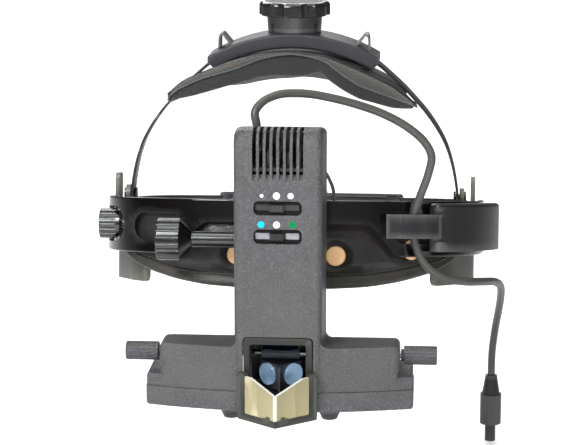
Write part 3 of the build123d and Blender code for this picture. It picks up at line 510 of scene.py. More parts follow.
def attach(ob, body, replaced=None):
    """The piece moves with one body, and may stand in for a CAD part."""
    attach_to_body(ob, body)
    if replaced:
        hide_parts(replaced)


def span(ob, replaced=None):
    """The piece is carried between two bodies."""
    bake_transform(ob)
    if replaced:
        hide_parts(replaced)


def subdivide(ob):
    modifier = ob.modifiers.new("sub", "SUBSURF")
    modifier.levels = modifier.render_levels = 1


def bevel_edges(ob, width):
    modifier = ob.modifiers.new("bevel", "BEVEL")
    modifier.width = width
    modifier.segments = 2
    modifier.limit_method = "ANGLE"


def loft(rings):
    """Skin over closed rings of equal length, with both ends capped."""
    size = len(rings[0])
    vertices = [v for ring in rings for v in ring]
    faces = []
    for i in range(len(rings) - 1):
        for j in range(size):
            a, b = i * size + j, i * size + (j + 1) % size
            faces.append((a, b, b + size, a + size))
    faces.append(tuple(reversed(range(size))))
    faces.append(tuple(range((len(rings) - 1) * size, len(rings) * size)))
    return vertices, faces


def between(start, end, start_t, end_t, t):
    return (start * ((end_t - t) / (end_t - start_t))
            + end * ((t - start_t) / (end_t - start_t)))


def smooth_path(points, spacing):
    """Centripetal Catmull-Rom curve through the points, resampled at an even spacing."""
    knots = [Vector(point) for point in points]
    knots = [knots[0] * 2 - knots[1]] + knots + [knots[-1] * 2 - knots[-2]]
    dense = []
    for i in range(1, len(knots) - 2):
        p0, p1, p2, p3 = knots[i - 1:i + 3]
        t0 = 0.0
        t1 = t0 + (p1 - p0).length ** .5
        t2 = t1 + (p2 - p1).length ** .5
        t3 = t2 + (p3 - p2).length ** .5
        for k in range(24):
            t = t1 + (t2 - t1) * k / 24
            a1 = between(p0, p1, t0, t1, t)
            a2 = between(p1, p2, t1, t2, t)
            a3 = between(p2, p3, t2, t3, t)
            b1 = between(a1, a2, t0, t2, t)
            b2 = between(a2, a3, t1, t3, t)
            dense.append(between(b1, b2, t1, t2, t))
    dense.append(knots[-2])
    lengths = [0.0]
    for a, b in zip(dense, dense[1:]):
        lengths.append(lengths[-1] + (b - a).length)
    steps = max(2, int(round(lengths[-1] / spacing)))
    path, j = [], 0
    for i in range(steps + 1):
        target = lengths[-1] * i / steps
        while j < len(lengths) - 2 and lengths[j + 1] < target:
            j += 1
        share = (target - lengths[j]) / max(lengths[j + 1] - lengths[j], 1e-9)
        path.append(dense[j].lerp(dense[j + 1], share))
    return path


def flat_path(points, spacing):
    return smooth_path([(a, b, 0) for a, b in points], spacing)


def mirrored(half):
    """Full outline from its +X half; the first point lies on the middle plane."""
    return [(-x, y) for x, y in reversed(half[1:])] + half


def tangent(path, i):
    """Direction of the path at point i."""
    return (path[min(i + 1, len(path) - 1)] - path[max(i - 1, 0)]).normalized()


def flat_normals(path):
    """Normals of a flat path, a quarter turn anticlockwise from its direction."""
    directions = [tangent(path, i) for i in range(len(path))]
    return [Vector((-d.y, d.x, 0)) for d in directions]


def tube(path, radius, sides):
    """Round tube whose section is carried along the path without twist."""
    rings = []
    across = (path[1] - path[0]).normalized().orthogonal().normalized()
    for i, point in enumerate(path):
        along = tangent(path, i)
        across = (across - along * across.dot(along)).normalized()
        up = along.cross(across)
        ring = []
        for k in range(sides):
            angle = 2 * math.pi * k / sides
            ring.append(point + (across * math.cos(angle) + up * math.sin(angle)) * radius)
        rings.append(ring)
    return loft(rings)


def band_ring(point, normal, section, side=1):
    """World ring from (offset along the normal, z) pairs at a point of a band outline."""
    ring = []
    for offset, z in section:
        place = point + normal * offset
        ring.append(band_point(side * place.x, place.y, z))
    return ring


def strap_section(thickness, low, high):
    """(offset, height) around a flat strap with chamfered corners."""
    chamfer, steps = .25, 6
    face = high - low - 2 * chamfer
    section = [(0.0, low + chamfer + face * k / steps) for k in range(steps + 1)]
    section += [(chamfer, high), (thickness - chamfer, high)]
    section += [(thickness, high - chamfer - face * k / steps) for k in range(steps + 1)]
    return section + [(thickness - chamfer, low), (chamfer, low)]


def quarter_turn(k, steps):
    return math.pi * .5 * k / steps


def puff(ob, pins, limit, frames):
    """Inflates the piece as cloth. pins: vertex to hold weight; no point moves beyond limit."""
    data = ob.data
    rest = [v.co.copy() for v in data.vertices]
    group = ob.vertex_groups.new(name="pin")
    for index, weight in pins.items():
        group.add([index], weight, "REPLACE")
    modifier = ob.modifiers.new("puff", "CLOTH")
    settings = modifier.settings
    settings.quality = 6
    settings.mass = .15
    settings.tension_stiffness = 12.0
    settings.compression_stiffness = 12.0
    settings.shear_stiffness = 5
    settings.bending_stiffness = .4
    settings.use_pressure = True
    settings.uniform_pressure_force = 2.5
    settings.vertex_group_mass = "pin"
    settings.effector_weights.gravity = 0
    modifier.collision_settings.use_collision = False
    for number in range(1, frames + 1):
        scene.frame_set(number)
    evaluated = ob.evaluated_get(bpy.context.evaluated_depsgraph_get())
    inflated = [v.co.copy() for v in evaluated.data.vertices]
    ob.modifiers.remove(modifier)
    for vertex, start, end in zip(data.vertices, rest, inflated):
        shift = end - start
        if shift.length > limit:
            shift = shift.normalized() * limit
        if not math.isnan(shift.length):
            vertex.co = start + shift
    scene.frame_set(1)
    ob.vertex_groups.clear()
    data.update()


# ------------------------------------------------------------------ brow pad
# Plan of the headband, +X half: x, y
BAND_HALF = [
    (0, -102.5), (11, -102.5), (22, -102.5), (30, -102.1), (38, -101.0), (46, -98.8),
    (54, -95.5), (62, -91.0), (69, -86.0), (75, -80.4), (80, -74.4), (82.4, -70.6)]
# Functions of the distance from the middle plane: lower edge z, height of the seam above it,
# and depth of the pad towards the head
brow_low = smooth_table([(0, -28.2), (20, -27.9), (38.7, -26.8), (54, -24.5), (66, -21.5),
                         (72, -19.6), (77, -17.2), (80, -14.5), (84, -10)])
brow_seam_rise = smooth_table([(0, 6.0), (33, 5.8), (54, 5.6), (66, 5.4), (76, 4.6), (84, 3.0)])
brow_depth = smooth_table([(0, 8.6), (54, 8.5), (62, 7.8), (69, 6.8), (75, 4.9), (80, 3.4),
                           (84, 2.2)])
STUDS = [(22.7, -12.5), (58.9, -9.6)]   # |x|, z of the studs through the pad
STUD_SEAT = 3.05        # offset of the leather pulled flat at a stud
BROW_TOP = 10.0
BROW_BASE = 3.0         # offset inwards from the band outline from which the depth counts
BROW_OUTER = 3.35       # offset of the flat outer face
BROW_OUTER_POINTS = 34
ROLL_POINTS = 8
BROW_ROUND = 2.5        # rounding of the top edge
TOE_RISE = 3.2          # height of the rounding under the inner face

band_path = flat_path(mirrored(BAND_HALF), 1.6)
band_normals = flat_normals(band_path)      # point inwards, to the head


def band_edge(x):
    """Lower edge of the gloss band in front of the pad."""
    middle, sides = 2.4, -12.85
    return middle + (sides - middle) * smoothstep(36.0, 53.5, abs(x))


def brow_seam(side):
    return brow_low(side) + brow_seam_rise(side)


def brow_outer_offset(x, z, seam):
    """Offset of the outer face: bulging out below the band, drawn in at the studs."""
    side = abs(x)
    edge = band_edge(x)
    below = smoothstep(edge + 1.0, edge - 7.0, z)
    bulge = 2.7 * below * smoothstep(80, 58, side) * (1.0 if side < 36 else .75)
    bulge *= smoothstep(seam - .2, seam + 5.5, z)
    offset = BROW_OUTER - bulge
    for stud_x, stud_z in STUDS:
        if offset < STUD_SEAT:
            distance = math.hypot(side - stud_x, z - stud_z)
            offset += (STUD_SEAT - offset) * smoothstep(8.5, 3.6, distance)
    offset += .22 * noise.noise(Vector((x * .05, z * .07, 3.1)))
    return max(offset, .45)


def brow_section(x):
    """(offset, z) around the pad: outer face, seam, roll, toe, inner face, top edge."""
    side = abs(x)
    low, seam, depth = brow_low(side), brow_seam(side), brow_depth(side)
    fullness = smoothstep(83.5, 74.0, side)
    top = BROW_TOP * (.35 + .65 * fullness)
    section = []
    for k in range(BROW_OUTER_POINTS):
        z = top + (seam - top) * k / (BROW_OUTER_POINTS - 1)
        section.append((brow_outer_offset(x, z, seam), z))
    section.append((BROW_OUTER, seam - .35))
    roll_height = seam - low
    for k in range(1, ROLL_POINTS + 1):
        angle = quarter_turn(k, ROLL_POINTS)
        swell = 1.9 * math.sin(min(angle * 1.6, math.pi / 2))
        tuck = 2.6 * (1 - math.cos(angle)) ** 1.2
        z = seam - .5 - (roll_height - .5) * math.sin(angle) ** .9
        section.append((BROW_BASE + 1.0 - swell + tuck, z))
    toe = BROW_BASE + depth * .55
    section.append((toe, low - .1))
    for k in range(1, 5):
        angle = quarter_turn(k, 4)
        section.append((toe + (depth * .45) * math.sin(angle),
                        low + TOE_RISE * (1 - math.cos(angle))))
    inner_low = low + TOE_RISE
    for k in range(1, 16):
        share = k / 16
        z = inner_low + (top - BROW_ROUND - inner_low) * share
        section.append((BROW_BASE + depth + .9 * math.sin(math.pi * share) * fullness, z))
    for k in range(5):
        angle = quarter_turn(k, 4)
        section.append((BROW_BASE + depth * (.55 + .45 * math.cos(angle)),
                        top - BROW_ROUND + BROW_ROUND * math.sin(angle)))
    return section


def brow_held(x, j, size):
    """True where the leather is fixed: ends, seam, top edge, behind the band, at the studs."""
    side = abs(x)
    if side > 80 or j in (0, BROW_OUTER_POINTS, size - 1):
        return True
    z = BROW_TOP + (brow_seam(side) - BROW_TOP) * j / (BROW_OUTER_POINTS - 1)
    at_stud = any(math.hypot(side - stud_x, z - stud_z) < 5.4 for stud_x, stud_z in STUDS)
    return j < BROW_OUTER_POINTS and (z > band_edge(x) - .5 or at_stud)


def build_brow_cushion():
    rings = [band_ring(point, normal, brow_section(point.x))
             for point, normal in zip(band_path, band_normals)]
    size = len(rings[0])
    pins = {i * size + j: 1.0 for i, point in enumerate(band_path) for j in range(size)
            if brow_held(point.x, j, size)}
    pad = add_mesh("brow_pad_cushion", loft(rings), MATERIALS["leather"])
    puff(pad, pins, limit=.0012, frames=14)
    pad.data.materials.append(MATERIALS["leather_roll"])
    for polygon in pad.data.polygons:
        places = [index % size for index in polygon.vertices]
        on_roll = (min(places) >= BROW_OUTER_POINTS
                   and max(places) <= BROW_OUTER_POINTS + ROLL_POINTS + 2)
        if len(places) == 4 and on_roll:
            polygon.material_index = 1
    attach(pad, "headband", "brow_pad")
    subdivide(pad)


def build_brow_seam():
    """Welt cord in the seam, and the row of stitches above it."""
    seam_path = []
    for point, normal in zip(band_path, band_normals):
        side = abs(point.x)
        if side <= 81:
            seam_path += band_ring(point, normal, [(3.1, brow_seam(side) - .2)])
    welt = add_mesh("brow_pad_welt", tube(seam_path, .42 * MM, 8), MATERIALS["leather"])
    attach(welt, "headband")
    vertices, faces = [], []
    shift = band_point(0, -.62, 1.35)
    marks = smooth_path(seam_path, .0024)
    for k in range(2, len(marks) - 2):
        start = marks[k]
        end = start.lerp(marks[k + 1], .62)
        stitch = [start + shift, start.lerp(end, .5) + shift * 1.02, end + shift]
        stitch_vertices, stitch_faces = tube(stitch, .16 * MM, 5)
        first = len(vertices)
        vertices += stitch_vertices
        faces += [tuple(first + index for index in face) for face in stitch_faces]
    stitches = add_mesh("brow_pad_stitches", (vertices, faces), MATERIALS["leather_roll"])
    attach(stitches, "headband")


build_brow_cushion()
build_brow_seam()

# ------------------------------------------------------------------ crown pad
# Lines along the front edge of the pad: x, z
crown_edge_line = smooth_table([
    (-58.5, 74.5), (-54.5, 79.0), (-49.8, 82.3), (-38.7, 87.0), (-27.0, 91.6), (-15.2, 94.4),
    (0.4, 95.6), (15.9, 94.0), (31.5, 87.7), (47.1, 80.4), (53.3, 75.8), (58.5, 71.4)], 2.2)
crown_piping_line = smooth_table([
    (-58.8, 72.1), (-54.1, 77.0), (-42.3, 82.4), (-26.6, 86.9), (-14.9, 91.7), (-7.1, 93.6),
    (0.6, 94.3), (8.4, 93.2), (16.1, 90.8), (23.9, 84.6), (31.7, 79.6), (43.3, 75.5),
    (53.4, 72.0), (59.3, 69.9)], 2.2)
crown_bottom_line = smooth_table([
    (-58.8, 71.2), (-46.3, 73.8), (-30.6, 78.6), (-14.9, 83.1), (-7.1, 83.8), (6.1, 84.1),
    (10.3, 85.1), (13.4, 85.9), (17.7, 81.5), (24.0, 77.2), (31.7, 73.0), (47.3, 68.8),
    (53.5, 68.6), (59.3, 69.0)], 1.0)
CROWN_Y = -42.0             # middle of the pad, front to back
CROWN_HALF_WIDTH = 24.0
CROWN_HALF_LENGTH = 52.4
CROWN_STEPS_X, CROWN_STEPS_Y = 96, 26
# Places on the pad are given by u, -1..1 along x, and v, -1 at the front to 1 at the back.


def crown_half_length(v):
    if v > 0:
        return CROWN_HALF_LENGTH - 1.5 * smoothstep(.8, 1.0, v)
    widening = 5.6 * smoothstep(.28, .75, -v)
    return CROWN_HALF_LENGTH + widening - 1.0 * smoothstep(.9, 1.0, -v)


def arc_height(radius, centre_z, x):
    return centre_z + math.sqrt(radius * radius - min(abs(x), 60) ** 2)


def crown_arc(x):
    return arc_height(89.7, 1.7, x)


def crown_line(x, v, line):
    """A front line as it is, or its lower, symmetrical form at the back."""
    if v < 0:
        return line(x)
    drop = 0.0 if line is crown_bottom_line else 4.0
    return min(line(x), line(-x), crown_arc(x) + 1.5) - drop


def crown_top(x, v):
    edge_share = smoothstep(.45, 1.0, abs(v))
    edge = crown_edge_line(x) - 1.2 if v < 0 else crown_line(x, v, crown_edge_line)
    return crown_arc(x) * (1 - edge_share) + edge * edge_share


def crown_underside(x, v):
    edge_share = smoothstep(.35, 1.0, abs(v))
    tip_share = smoothstep(20, 50, abs(x))
    middle = arc_height(81.0, 1.9, x) - .6 * math.cos(v * math.pi * .5)
    middle = middle * (1 - tip_share) + (crown_arc(x) - 2.6) * tip_share
    z = middle * (1 - edge_share) + crown_line(x, v, crown_bottom_line) * edge_share
    return min(z, crown_top(x, v) - .8)


def crown_wall(u, end):
    """(point, hold) on the front (end -1) or back (end 1) wall, in ring order."""
    x = u * crown_half_length(end)
    top = max(crown_top(x, end), crown_line(x, end, crown_piping_line) + .2)
    low = crown_line(x, end, crown_bottom_line)
    wall = []
    for k in range(1, 7):
        down = k / 7 if end > 0 else 1 - k / 7
        y = CROWN_Y + end * CROWN_HALF_WIDTH * (1 + .035 * math.sin(math.pi * down))
        at_piping = k == (2 if end > 0 else 5)
        wall.append((millimetres(x, y, top + (low - top) * down), .8 if at_piping else 0))
    return wall


def crown_ring(u):
    """(point, hold) around the pad: top to the back, back wall, underside, front wall."""
    top, underside = [], []
    for j in range(CROWN_STEPS_Y + 1):
        v = -1 + 2 * j / CROWN_STEPS_Y
        x = u * crown_half_length(v)
        point = millimetres(x, CROWN_Y + CROWN_HALF_WIDTH * v, crown_top(x, v))
        top.append((point, 1.0 if abs(v) < .66 else .6))
        v = 1 - 2 * j / CROWN_STEPS_Y
        x = u * crown_half_length(v)
        point = millimetres(x, CROWN_Y + CROWN_HALF_WIDTH * v, crown_underside(x, v))
        underside.append((point, 0))
    return top + crown_wall(u, 1) + underside + crown_wall(u, -1)


def build_crown_cushion():
    rings, pins = [], {}
    for i in range(CROWN_STEPS_X + 1):
        ring = crown_ring(-1 + 2 * i / CROWN_STEPS_X)
        at_tip = i < 2 or i > CROWN_STEPS_X - 2
        for j, (_, hold) in enumerate(ring):
            if at_tip or hold:
                pins[i * len(ring) + j] = 1.0 if at_tip else hold
        rings.append([point for point, _ in ring])
    pad = add_mesh("crown_pad_cushion", loft(rings), MATERIALS["knit"])
    puff(pad, pins, limit=.0016, frames=16)
    attach(pad, "crown_saddle", "crown_pad")
    subdivide(pad)


def crown_edge_loop(offset):
    """(x, y, v) once around the pad's edge, held off from it by the offset."""
    loop = []
    for end in (-1, 1):
        for i in range(81):
            u = -end * (1 - 2 * i / 80) if end < 0 else 1 - 2 * i / 80
            x = -u * crown_half_length(end) if end < 0 else u * crown_half_length(end)
            loop.append((x, CROWN_Y + CROWN_HALF_WIDTH * end + end * offset, end))
        for k in range(1, 10):
            v = -end * (-1 + 2 * k / 10)
            x = -end * (crown_half_length(v) + offset)
            loop.append((x, CROWN_Y + CROWN_HALF_WIDTH * v, v))
    return loop


def build_crown_edge():
    """Boxing strip around the edge of the pad, with piping along its lower side."""
    top_ring, low_ring = [], []
    for x, y, v in crown_edge_loop(.9):
        inside_x = max(min(x, 58.5), -58.5)
        pad_z = crown_top(inside_x, v)
        if abs(v) >= 1:
            top = crown_edge_line(inside_x) if v < 0 else pad_z + 1.0
            low = crown_line(inside_x, v, crown_piping_line)
        else:
            top, low = pad_z + .6, pad_z - 1.4
        top_ring.append(millimetres(x, y, top - 1.2))
        low_ring.append(millimetres(x, y, min(low, top - 1.3)))

    def shifted(point, outwards, up=0.0):
        """Metres away from the middle of the pad along y, and up."""
        away = 1 if point.y > CROWN_Y * MM else -1
        return point + Vector((0, away * outwards, up))

    middle = [shifted(a.lerp(b, .5), .0005) for a, b in zip(top_ring, low_ring)]
    inner_low = [shifted(point, -.0022, -.0002) for point in low_ring]
    inner_top = [shifted(point, -.0022, -.0008) for point in top_ring]
    loops = [top_ring, middle, low_ring, inner_low, inner_top]
    size = len(top_ring)
    faces = []
    for a in range(5):
        b = (a + 1) % 5
        for j in range(size):
            k = (j + 1) % size
            faces.append((a * size + j, a * size + k, b * size + k, b * size + j))
    vertices = [point for loop in loops for point in loop]
    boxing = add_mesh("crown_pad_boxing", (vertices, faces), MATERIALS["boxing"])
    attach(boxing, "crown_saddle")
    path = [shifted(point, .0004) for point in low_ring + low_ring[:1]]
    piping = add_mesh("crown_pad_piping", tube(path, .40 * MM, 8), MATERIALS["piping"])
    attach(piping, "crown_saddle")


def build_crown_cap():
    """Thin leather cap over the top, turned down at the front and back."""
    rings = []
    for i in range(CROWN_STEPS_X + 1):
        u = -1 + 2 * i / CROWN_STEPS_X
        top, under = [], []
        for j in range(CROWN_STEPS_Y + 1):
            for v, points in ((-1 + 2 * j / CROWN_STEPS_Y, top),
                              (1 - 2 * j / CROWN_STEPS_Y, under)):
                x = u * (crown_half_length(v) + .8)
                lift = .95 * smoothstep(.70, .95, abs(v)) + .12
                z = crown_top(max(min(x, 59), -59), v) + lift
                if points is under:
                    z -= .2 + 2.1 * smoothstep(.80, 1.0, abs(v))
                points.append(millimetres(x, CROWN_Y + (CROWN_HALF_WIDTH + .9) * v, z))
        rings.append(top + under)
    cap = add_mesh("crown_pad_cap", loft(rings), MATERIALS["cap"])
    attach(cap, "crown_saddle")


build_crown_cushion()
build_crown_edge()
build_crown_cap()

# ------------------------------------------------------------------ rear pad
# Plan of the rear carrier, +X half: x, y
REAR_HALF = [(0, 102.1), (10, 102.1), (21, 101.9), (30, 101.5), (44, 99.7), (50, 98.0)]
REAR_RING_POINTS = 30
rear_path = flat_path(mirrored(REAR_HALF), 1.6)
rear_normals = flat_normals(rear_path)      # point backwards, away from the head


def rear_section(x):
    """(offset, z) and hold flags around the pad: carrier side down, then head side up."""
    narrowing = 1 - smoothstep(1.0, .86, abs(x) / REAR_HALF[-1][0])
    top, low = 12.3 - 2.5 * narrowing, -21.8 + 5.0 * narrowing
    middle, half = (top + low) / 2, (top - low) / 2
    carrier_side, head_side = 6.95, 14.6 - 3.2 * narrowing
    depth = head_side - carrier_side
    section, held = [], []
    for k in range(REAR_RING_POINTS):
        share = k / REAR_RING_POINTS
        if share < .5:
            height = 1 - 4 * share
            offset = carrier_side + depth * .42 * abs(height) ** 7
            z = middle + half * height
            held.append(abs(height) < .72)
        else:
            height = -1 + 4 * (share - .5)
            edge = abs(height) ** 3.5
            tuft = .18 * math.cos(height * math.pi * 1.5) ** 2
            offset = head_side - depth * .5 * edge - tuft
            z = middle + half * height * (1 - .02 * edge)
            held.append(False)
        section.append((-offset, z))
    return section, held


def build_rear_pad():
    rings, pins = [], {}
    for i, (point, normal) in enumerate(zip(rear_path, rear_normals)):
        section, held = rear_section(point.x)
        at_end = i < 2 or i > len(rear_path) - 3
        for j, is_held in enumerate(held):
            if at_end or is_held:
                pins[i * REAR_RING_POINTS + j] = 1.0
        rings.append(band_ring(point, normal, section))
    pad = add_mesh("rear_pad_cushion", loft(rings), MATERIALS["leather"])
    puff(pad, pins, limit=.0012, frames=14)
    attach(pad, "rear_carrier", "rear_pad")
    subdivide(pad)
    for name, z in (("upper", 12.15), ("lower", -21.5)):
        path = []
        for point, normal in zip(rear_path, rear_normals):
            if abs(point.x) <= 46:
                path += band_ring(point, normal, [(-9.9, z)])
        welt = add_mesh("rear_pad_welt_" + name, tube(path, .45 * MM, 8), MATERIALS["leather"])
        attach(welt, "rear_carrier")


build_rear_pad()

# ------------------------------------------------------------------ rear arms
# Plan of the +X arm, front to back: x, y
ARM = [
    (85.2, -30), (85.2, -22), (85.2, -15), (85.2, 0), (85.2, 15), (85.2, 30), (84.5, 48),
    (82, 63), (76.5, 77), (68, 88), (57, 95.5), (44, 99.7), (30, 101.5), (21, 101.9)]
ARM_THICKNESS = 2.0
ARM_LOW = -6.0


def arm_high(point):
    """Upper edge: lower at the front end, full height from there on."""
    y = point.y if point.x > 60 else 90
    return 7.0 + 5.0 * smoothstep(-15, -3, y)


def build_arm(name, side):
    path = flat_path(ARM, 1.5)
    rings = []
    for point, normal in zip(path, flat_normals(path)):
        section = strap_section(ARM_THICKNESS, ARM_LOW, arm_high(point))
        ring = band_ring(point, normal, section, side)
        rings.append(ring[::-1] if side < 0 else ring)
    arm = add_mesh("rear_arm_" + name, loft(rings), MATERIALS["arm"])
    bevel_edges(arm, .0002)
    span(arm,
         "rear_arms" if side < 0 else None)


for side_name, side_sign in SIDES:
    build_arm(side_name, side_sign)

# ------------------------------------------------------------------ crown straps
STRAP_THICKNESS = 1.2
STRAP_HALF_WIDTH = 6.5      # also the radius of the rounded lower end
HOOP_RADIUS = 76.0
HOOP_CENTRE_Z = 22.5
HOOP_START, HOOP_END = 5.4, 40.5        # x range of the circular part
# The +X strap below its circular part: x, z
STRAP_FALL = [(46, 82.1), (52, 76.6), (58, 70.3), (64, 63.3), (69, 56.0), (72.6, 49.3),
              (75.4, 41.5), (77.4, 33.0), (78.6, 25), (78.8, 21), (78.8, 17.0)]


def strap_outline():
    hoop = []
    for k in range(12):
        x = HOOP_START + (HOOP_END - HOOP_START) * k / 11
        hoop.append((x, HOOP_CENTRE_Z + math.sqrt(HOOP_RADIUS ** 2 - x * x)))
    return hoop + STRAP_FALL


def strap_half_width(path, i):
    """Half width at point i, rounded off towards the lower end."""
    radius = STRAP_HALF_WIDTH
    left = min(sum((path[k + 1] - path[k]).length for k in range(i, len(path) - 1)), radius)
    if left < radius:
        return math.sqrt(max(radius ** 2 - (radius - left) ** 2, .4))
    return radius


def build_strap(name, side):
    path = flat_path(strap_outline(), 1.2)
    rings = []
    for i, (point, normal) in enumerate(zip(path, flat_normals(path))):
        half = strap_half_width(path, i)
        ring = []
        for inwards, y in strap_section(STRAP_THICKNESS, CROWN_Y - half, CROWN_Y + half):
            place = point + normal * (STRAP_THICKNESS / 2 - inwards)
            ring.append(millimetres(side * place.x, y, place.y))
        rings.append(ring[::-1] if side > 0 else ring)
    strap = add_mesh("crown_strap_" + name, loft(rings), MATERIALS["strap"])
    bevel_edges(strap, .00015)
    span(strap,
         "crown_straps" if side < 0 else None)


for side_name, side_sign in SIDES:
    build_strap(side_name, side_sign)

# ------------------------------------------------------------------ cable and lead
# x, y, z from the tower, over and down the +X side of the headband, to the hanging end
CABLE = [
    (-12.4, -110.95, 59.0), (-12.4, -109.6, 59.15), (-12.5, -108.3, 61.6),
    (-12.9, -107.8, 67.6), (-13.7, -106.6, 72.6), (-10.2, -103.4, 77.2), (-3.3, -100, 79.9),
    (4.2, -97, 80.1), (11.4, -95, 79.4), (22.2, -93, 77.1), (33.1, -91, 73.9), (43.6, -90, 70),
    (54.6, -90, 64.1), (62.6, -91, 57.4), (65.9, -92, 51), (64.6, -93, 43), (60.6, -94, 31.5),
    (58.6, -95.1, 24.9), (58.2, -95.5, 14.7), (60.7, -96.7, 6.2), (65.7, -98.4, -.4),
    (72.9, -97.4, -4.9), (81.7, -91.5, -7.6), (90.5, -79, -10.5), (97, -60, -15),
    (100.5, -40, -22), (101.5, -20, -32), (101.2, -2, -44), (100.2, 12, -57), (99.2, 19, -70),
    (99, 20.5, -78), (99, 20.5, -84.2)]
# x, y, z from the tower down to the headband
LEAD = [(14.5, -113.95, 49.5), (18.2, -110.6, 46.4), (20.6, -106.5, 41), (21.6, -102.4, 36.6),
        (21.9, -99.4, 31.6)]


def build_cable(name, points, spacing, radius, sides, replaced):
    path = smooth_path([millimetres(*point) for point in points], spacing)
    cable = add_mesh(name, tube(path, radius * MM, sides), MATERIALS["cable"])
    span(cable, replaced)


build_cable("supply_cable", CABLE, spacing=.0012, radius=1.9, sides=20,
            replaced="main_cable")
build_cable("lamp_lead", LEAD, spacing=.0008, radius=.8, sides=14,
            replaced="thin_lead")


# ------------------------------------------------------------------ tower details
def build_baffle():
    """Folded black light baffle behind the cooling slots."""
    width, low, high, thickness, folds = 32.8, 43.5, 65.0, .25, 24
    rings = []
    for i in range(folds + 1):
        x = -width / 2 + width * i / folds
        front = -117.0 if i % 4 in (1, 2) else -116.5
        back = front + thickness
        rings.append([millimetres(x, y, z) for y, z in
                      ((front, low), (front, high), (back, high), (back, low))])
    baffle = add_mesh("lamp_baffle", loft(rings), MATERIALS["black_anodised"], smooth=False)
    attach(baffle, "optics")


TOWER_FRONT = -154.0
DOT_THICKNESS = .09
DOT_SIDES = 40
SPOT_ROW, FILTER_ROW = 43.7, 31.0       # z of the two rows
# Printed index dots: name, x, z, diameter, ink
DOTS = [
    ("dot_spot_small", -6.9, SPOT_ROW, 1.6, "print_white"),
    ("dot_spot_large", -0.5, SPOT_ROW, 3.1, "print_white"),
    ("dot_spot_medium", 5.6, SPOT_ROW, 2.6, "print_white"),
    ("dot_filter_cyan", -7.2, FILTER_ROW, 3.0, "print_cyan"),
    ("dot_filter_white", -0.5, FILTER_ROW, 3.0, "print_white"),
    ("dot_filter_green", 6.4, FILTER_ROW, 3.0, "print_green")]


def build_dot(name, x, z, diameter, ink):
    """Thin disc sunk a little into the tower front, with a chamfered rim."""
    rings = []
    for y, radius in ((TOWER_FRONT + .05, diameter / 2),
                      (TOWER_FRONT - DOT_THICKNESS * .6, diameter / 2),
                      (TOWER_FRONT - DOT_THICKNESS, diameter / 2 - .05)):
        angles = [2 * math.pi * k / DOT_SIDES for k in range(DOT_SIDES)]
        rings.append([millimetres(x + radius * math.cos(a), y, z + radius * math.sin(a))
                      for a in angles])
    attach(add_mesh(name, loft(rings), MATERIALS[ink], smooth=False), "optics")


build_baffle()
for dot in DOTS:
    build_dot(*dot)


# ------------------------------------------------------------------ floor, lights, camera
def floor_material():
    """Near-white floor that glows for the camera only, brighter away from the middle."""
    material = bpy.data.materials.new("studio_floor")
    material.use_nodes = True
    tree = material.node_tree
    inputs = tree.nodes["Principled BSDF"].inputs
    inputs["Base Color"].default_value = (.86, .86, .865, 1)
    inputs["Roughness"].default_value = .7
    inputs["Emission Color"].default_value = WHITE
    position = add_node(tree, "NewGeometry").outputs["Position"]
    distance = add_node(tree, "VectorMath", {0: position}, operation="LENGTH").outputs["Value"]
    glow = add_node(tree, "MapRange", {"From Min": .35, "From Max": 1.3, "To Min": .45,
                                       "To Max": 1.0, "Value": distance}).outputs["Result"]
    camera_ray = add_node(tree, "LightPath").outputs["Is Camera Ray"]
    strength = add_node(tree, "Math", {0: camera_ray, 1: glow}, operation="MULTIPLY")
    feed(inputs["Emission Strength"], strength.outputs[0])
    return material


def build_floor():
    z, half = -.1212, 3.4
    vertices = [(x, y, z) for y in (-half, -1.2, 0.0, 1.2, half) for x in (-half, half)]
    faces = [(2 * k, 2 * k + 1, 2 * k + 3, 2 * k + 2) for k in range(4)]
    add_mesh("studio_floor_sheet", (vertices, faces), floor_material())


def turn_to(ob, direction):
    ob.rotation_euler = direction.to_track_quat("-Z", "Y").to_euler()


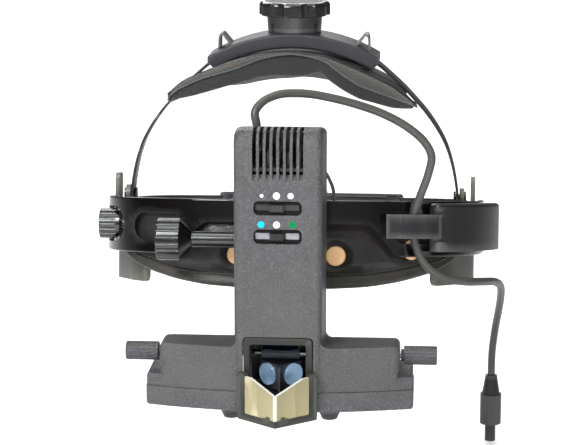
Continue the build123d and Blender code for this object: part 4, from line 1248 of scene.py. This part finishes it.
def area_light(name, place, target, width, height, power):
    data = bpy.data.lights.new(name, "AREA")
    data.shape = "RECTANGLE"
    data.size, data.size_y = width, height
    data.energy = power
    light = bpy.data.objects.new(name, data)
    scene.collection.objects.link(light)
    light.location = place
    turn_to(light, Vector(target) - Vector(place))
    return light


def build_world():
    """White to the camera; as a light it dims towards the -X and +X sides."""
    world = bpy.data.worlds.new("studio")
    scene.world = world
    world.use_nodes = True
    tree = world.node_tree
    background = tree.nodes["Background"]
    background.inputs["Color"].default_value = WHITE
    camera_ray = add_node(tree, "LightPath").outputs["Is Camera Ray"]
    direction = add_node(tree, "TexCoord").outputs["Generated"]
    x = add_node(tree, "SeparateXYZ", {0: direction}).outputs[0]
    sideways = add_node(tree, "Math", {0: x}, operation="ABSOLUTE").outputs[0]
    # strength .32 in the middle plane, .30 less at the sides
    light = add_node(tree, "Math", {0: sideways, 1: -.30, 2: .32}, operation="MULTIPLY_ADD")
    strength = add_node(tree, "Math", {0: camera_ray, 1: light.outputs[0]}, operation="MAXIMUM")
    feed(background.inputs["Strength"], strength.outputs[0])


def build_camera():
    data = bpy.data.cameras.new("camera")
    camera = bpy.data.objects.new("camera", data)
    scene.collection.objects.link(camera)
    camera.location = (.06363, -1.01819, .21309)
    turn_to(camera, Vector((-.0683, .9765, -.2045)).normalized())
    data.lens = 129.66
    data.sensor_width = 36.0
    data.clip_start = .02
    scene.camera = camera


build_floor()
area_light("key_left", (-.5, -.92, .78), target=(0, -.1, 0), width=.55, height=.5, power=17.0)
front_low = area_light("front_low", (.12, -1.25, .02), target=(0, -.1, -.03), width=.7,
                       height=.45, power=12.5)
front_low.visible_glossy = False
area_light("fill_right", (.85, -.5, .3), target=(0, -.05, .02), width=.35, height=.6, power=.8)
area_light("top_soft", (0, -.15, 1.05), target=(0, -.03, 0), width=.8, height=.6, power=4.5)
area_light("back_rim", (-.2, .75, .5), target=(0, 0, .03), width=.7, height=.4, power=4.0)
build_world()
scene.view_settings.view_transform = "Standard"
scene.view_settings.look = "None"
build_camera()
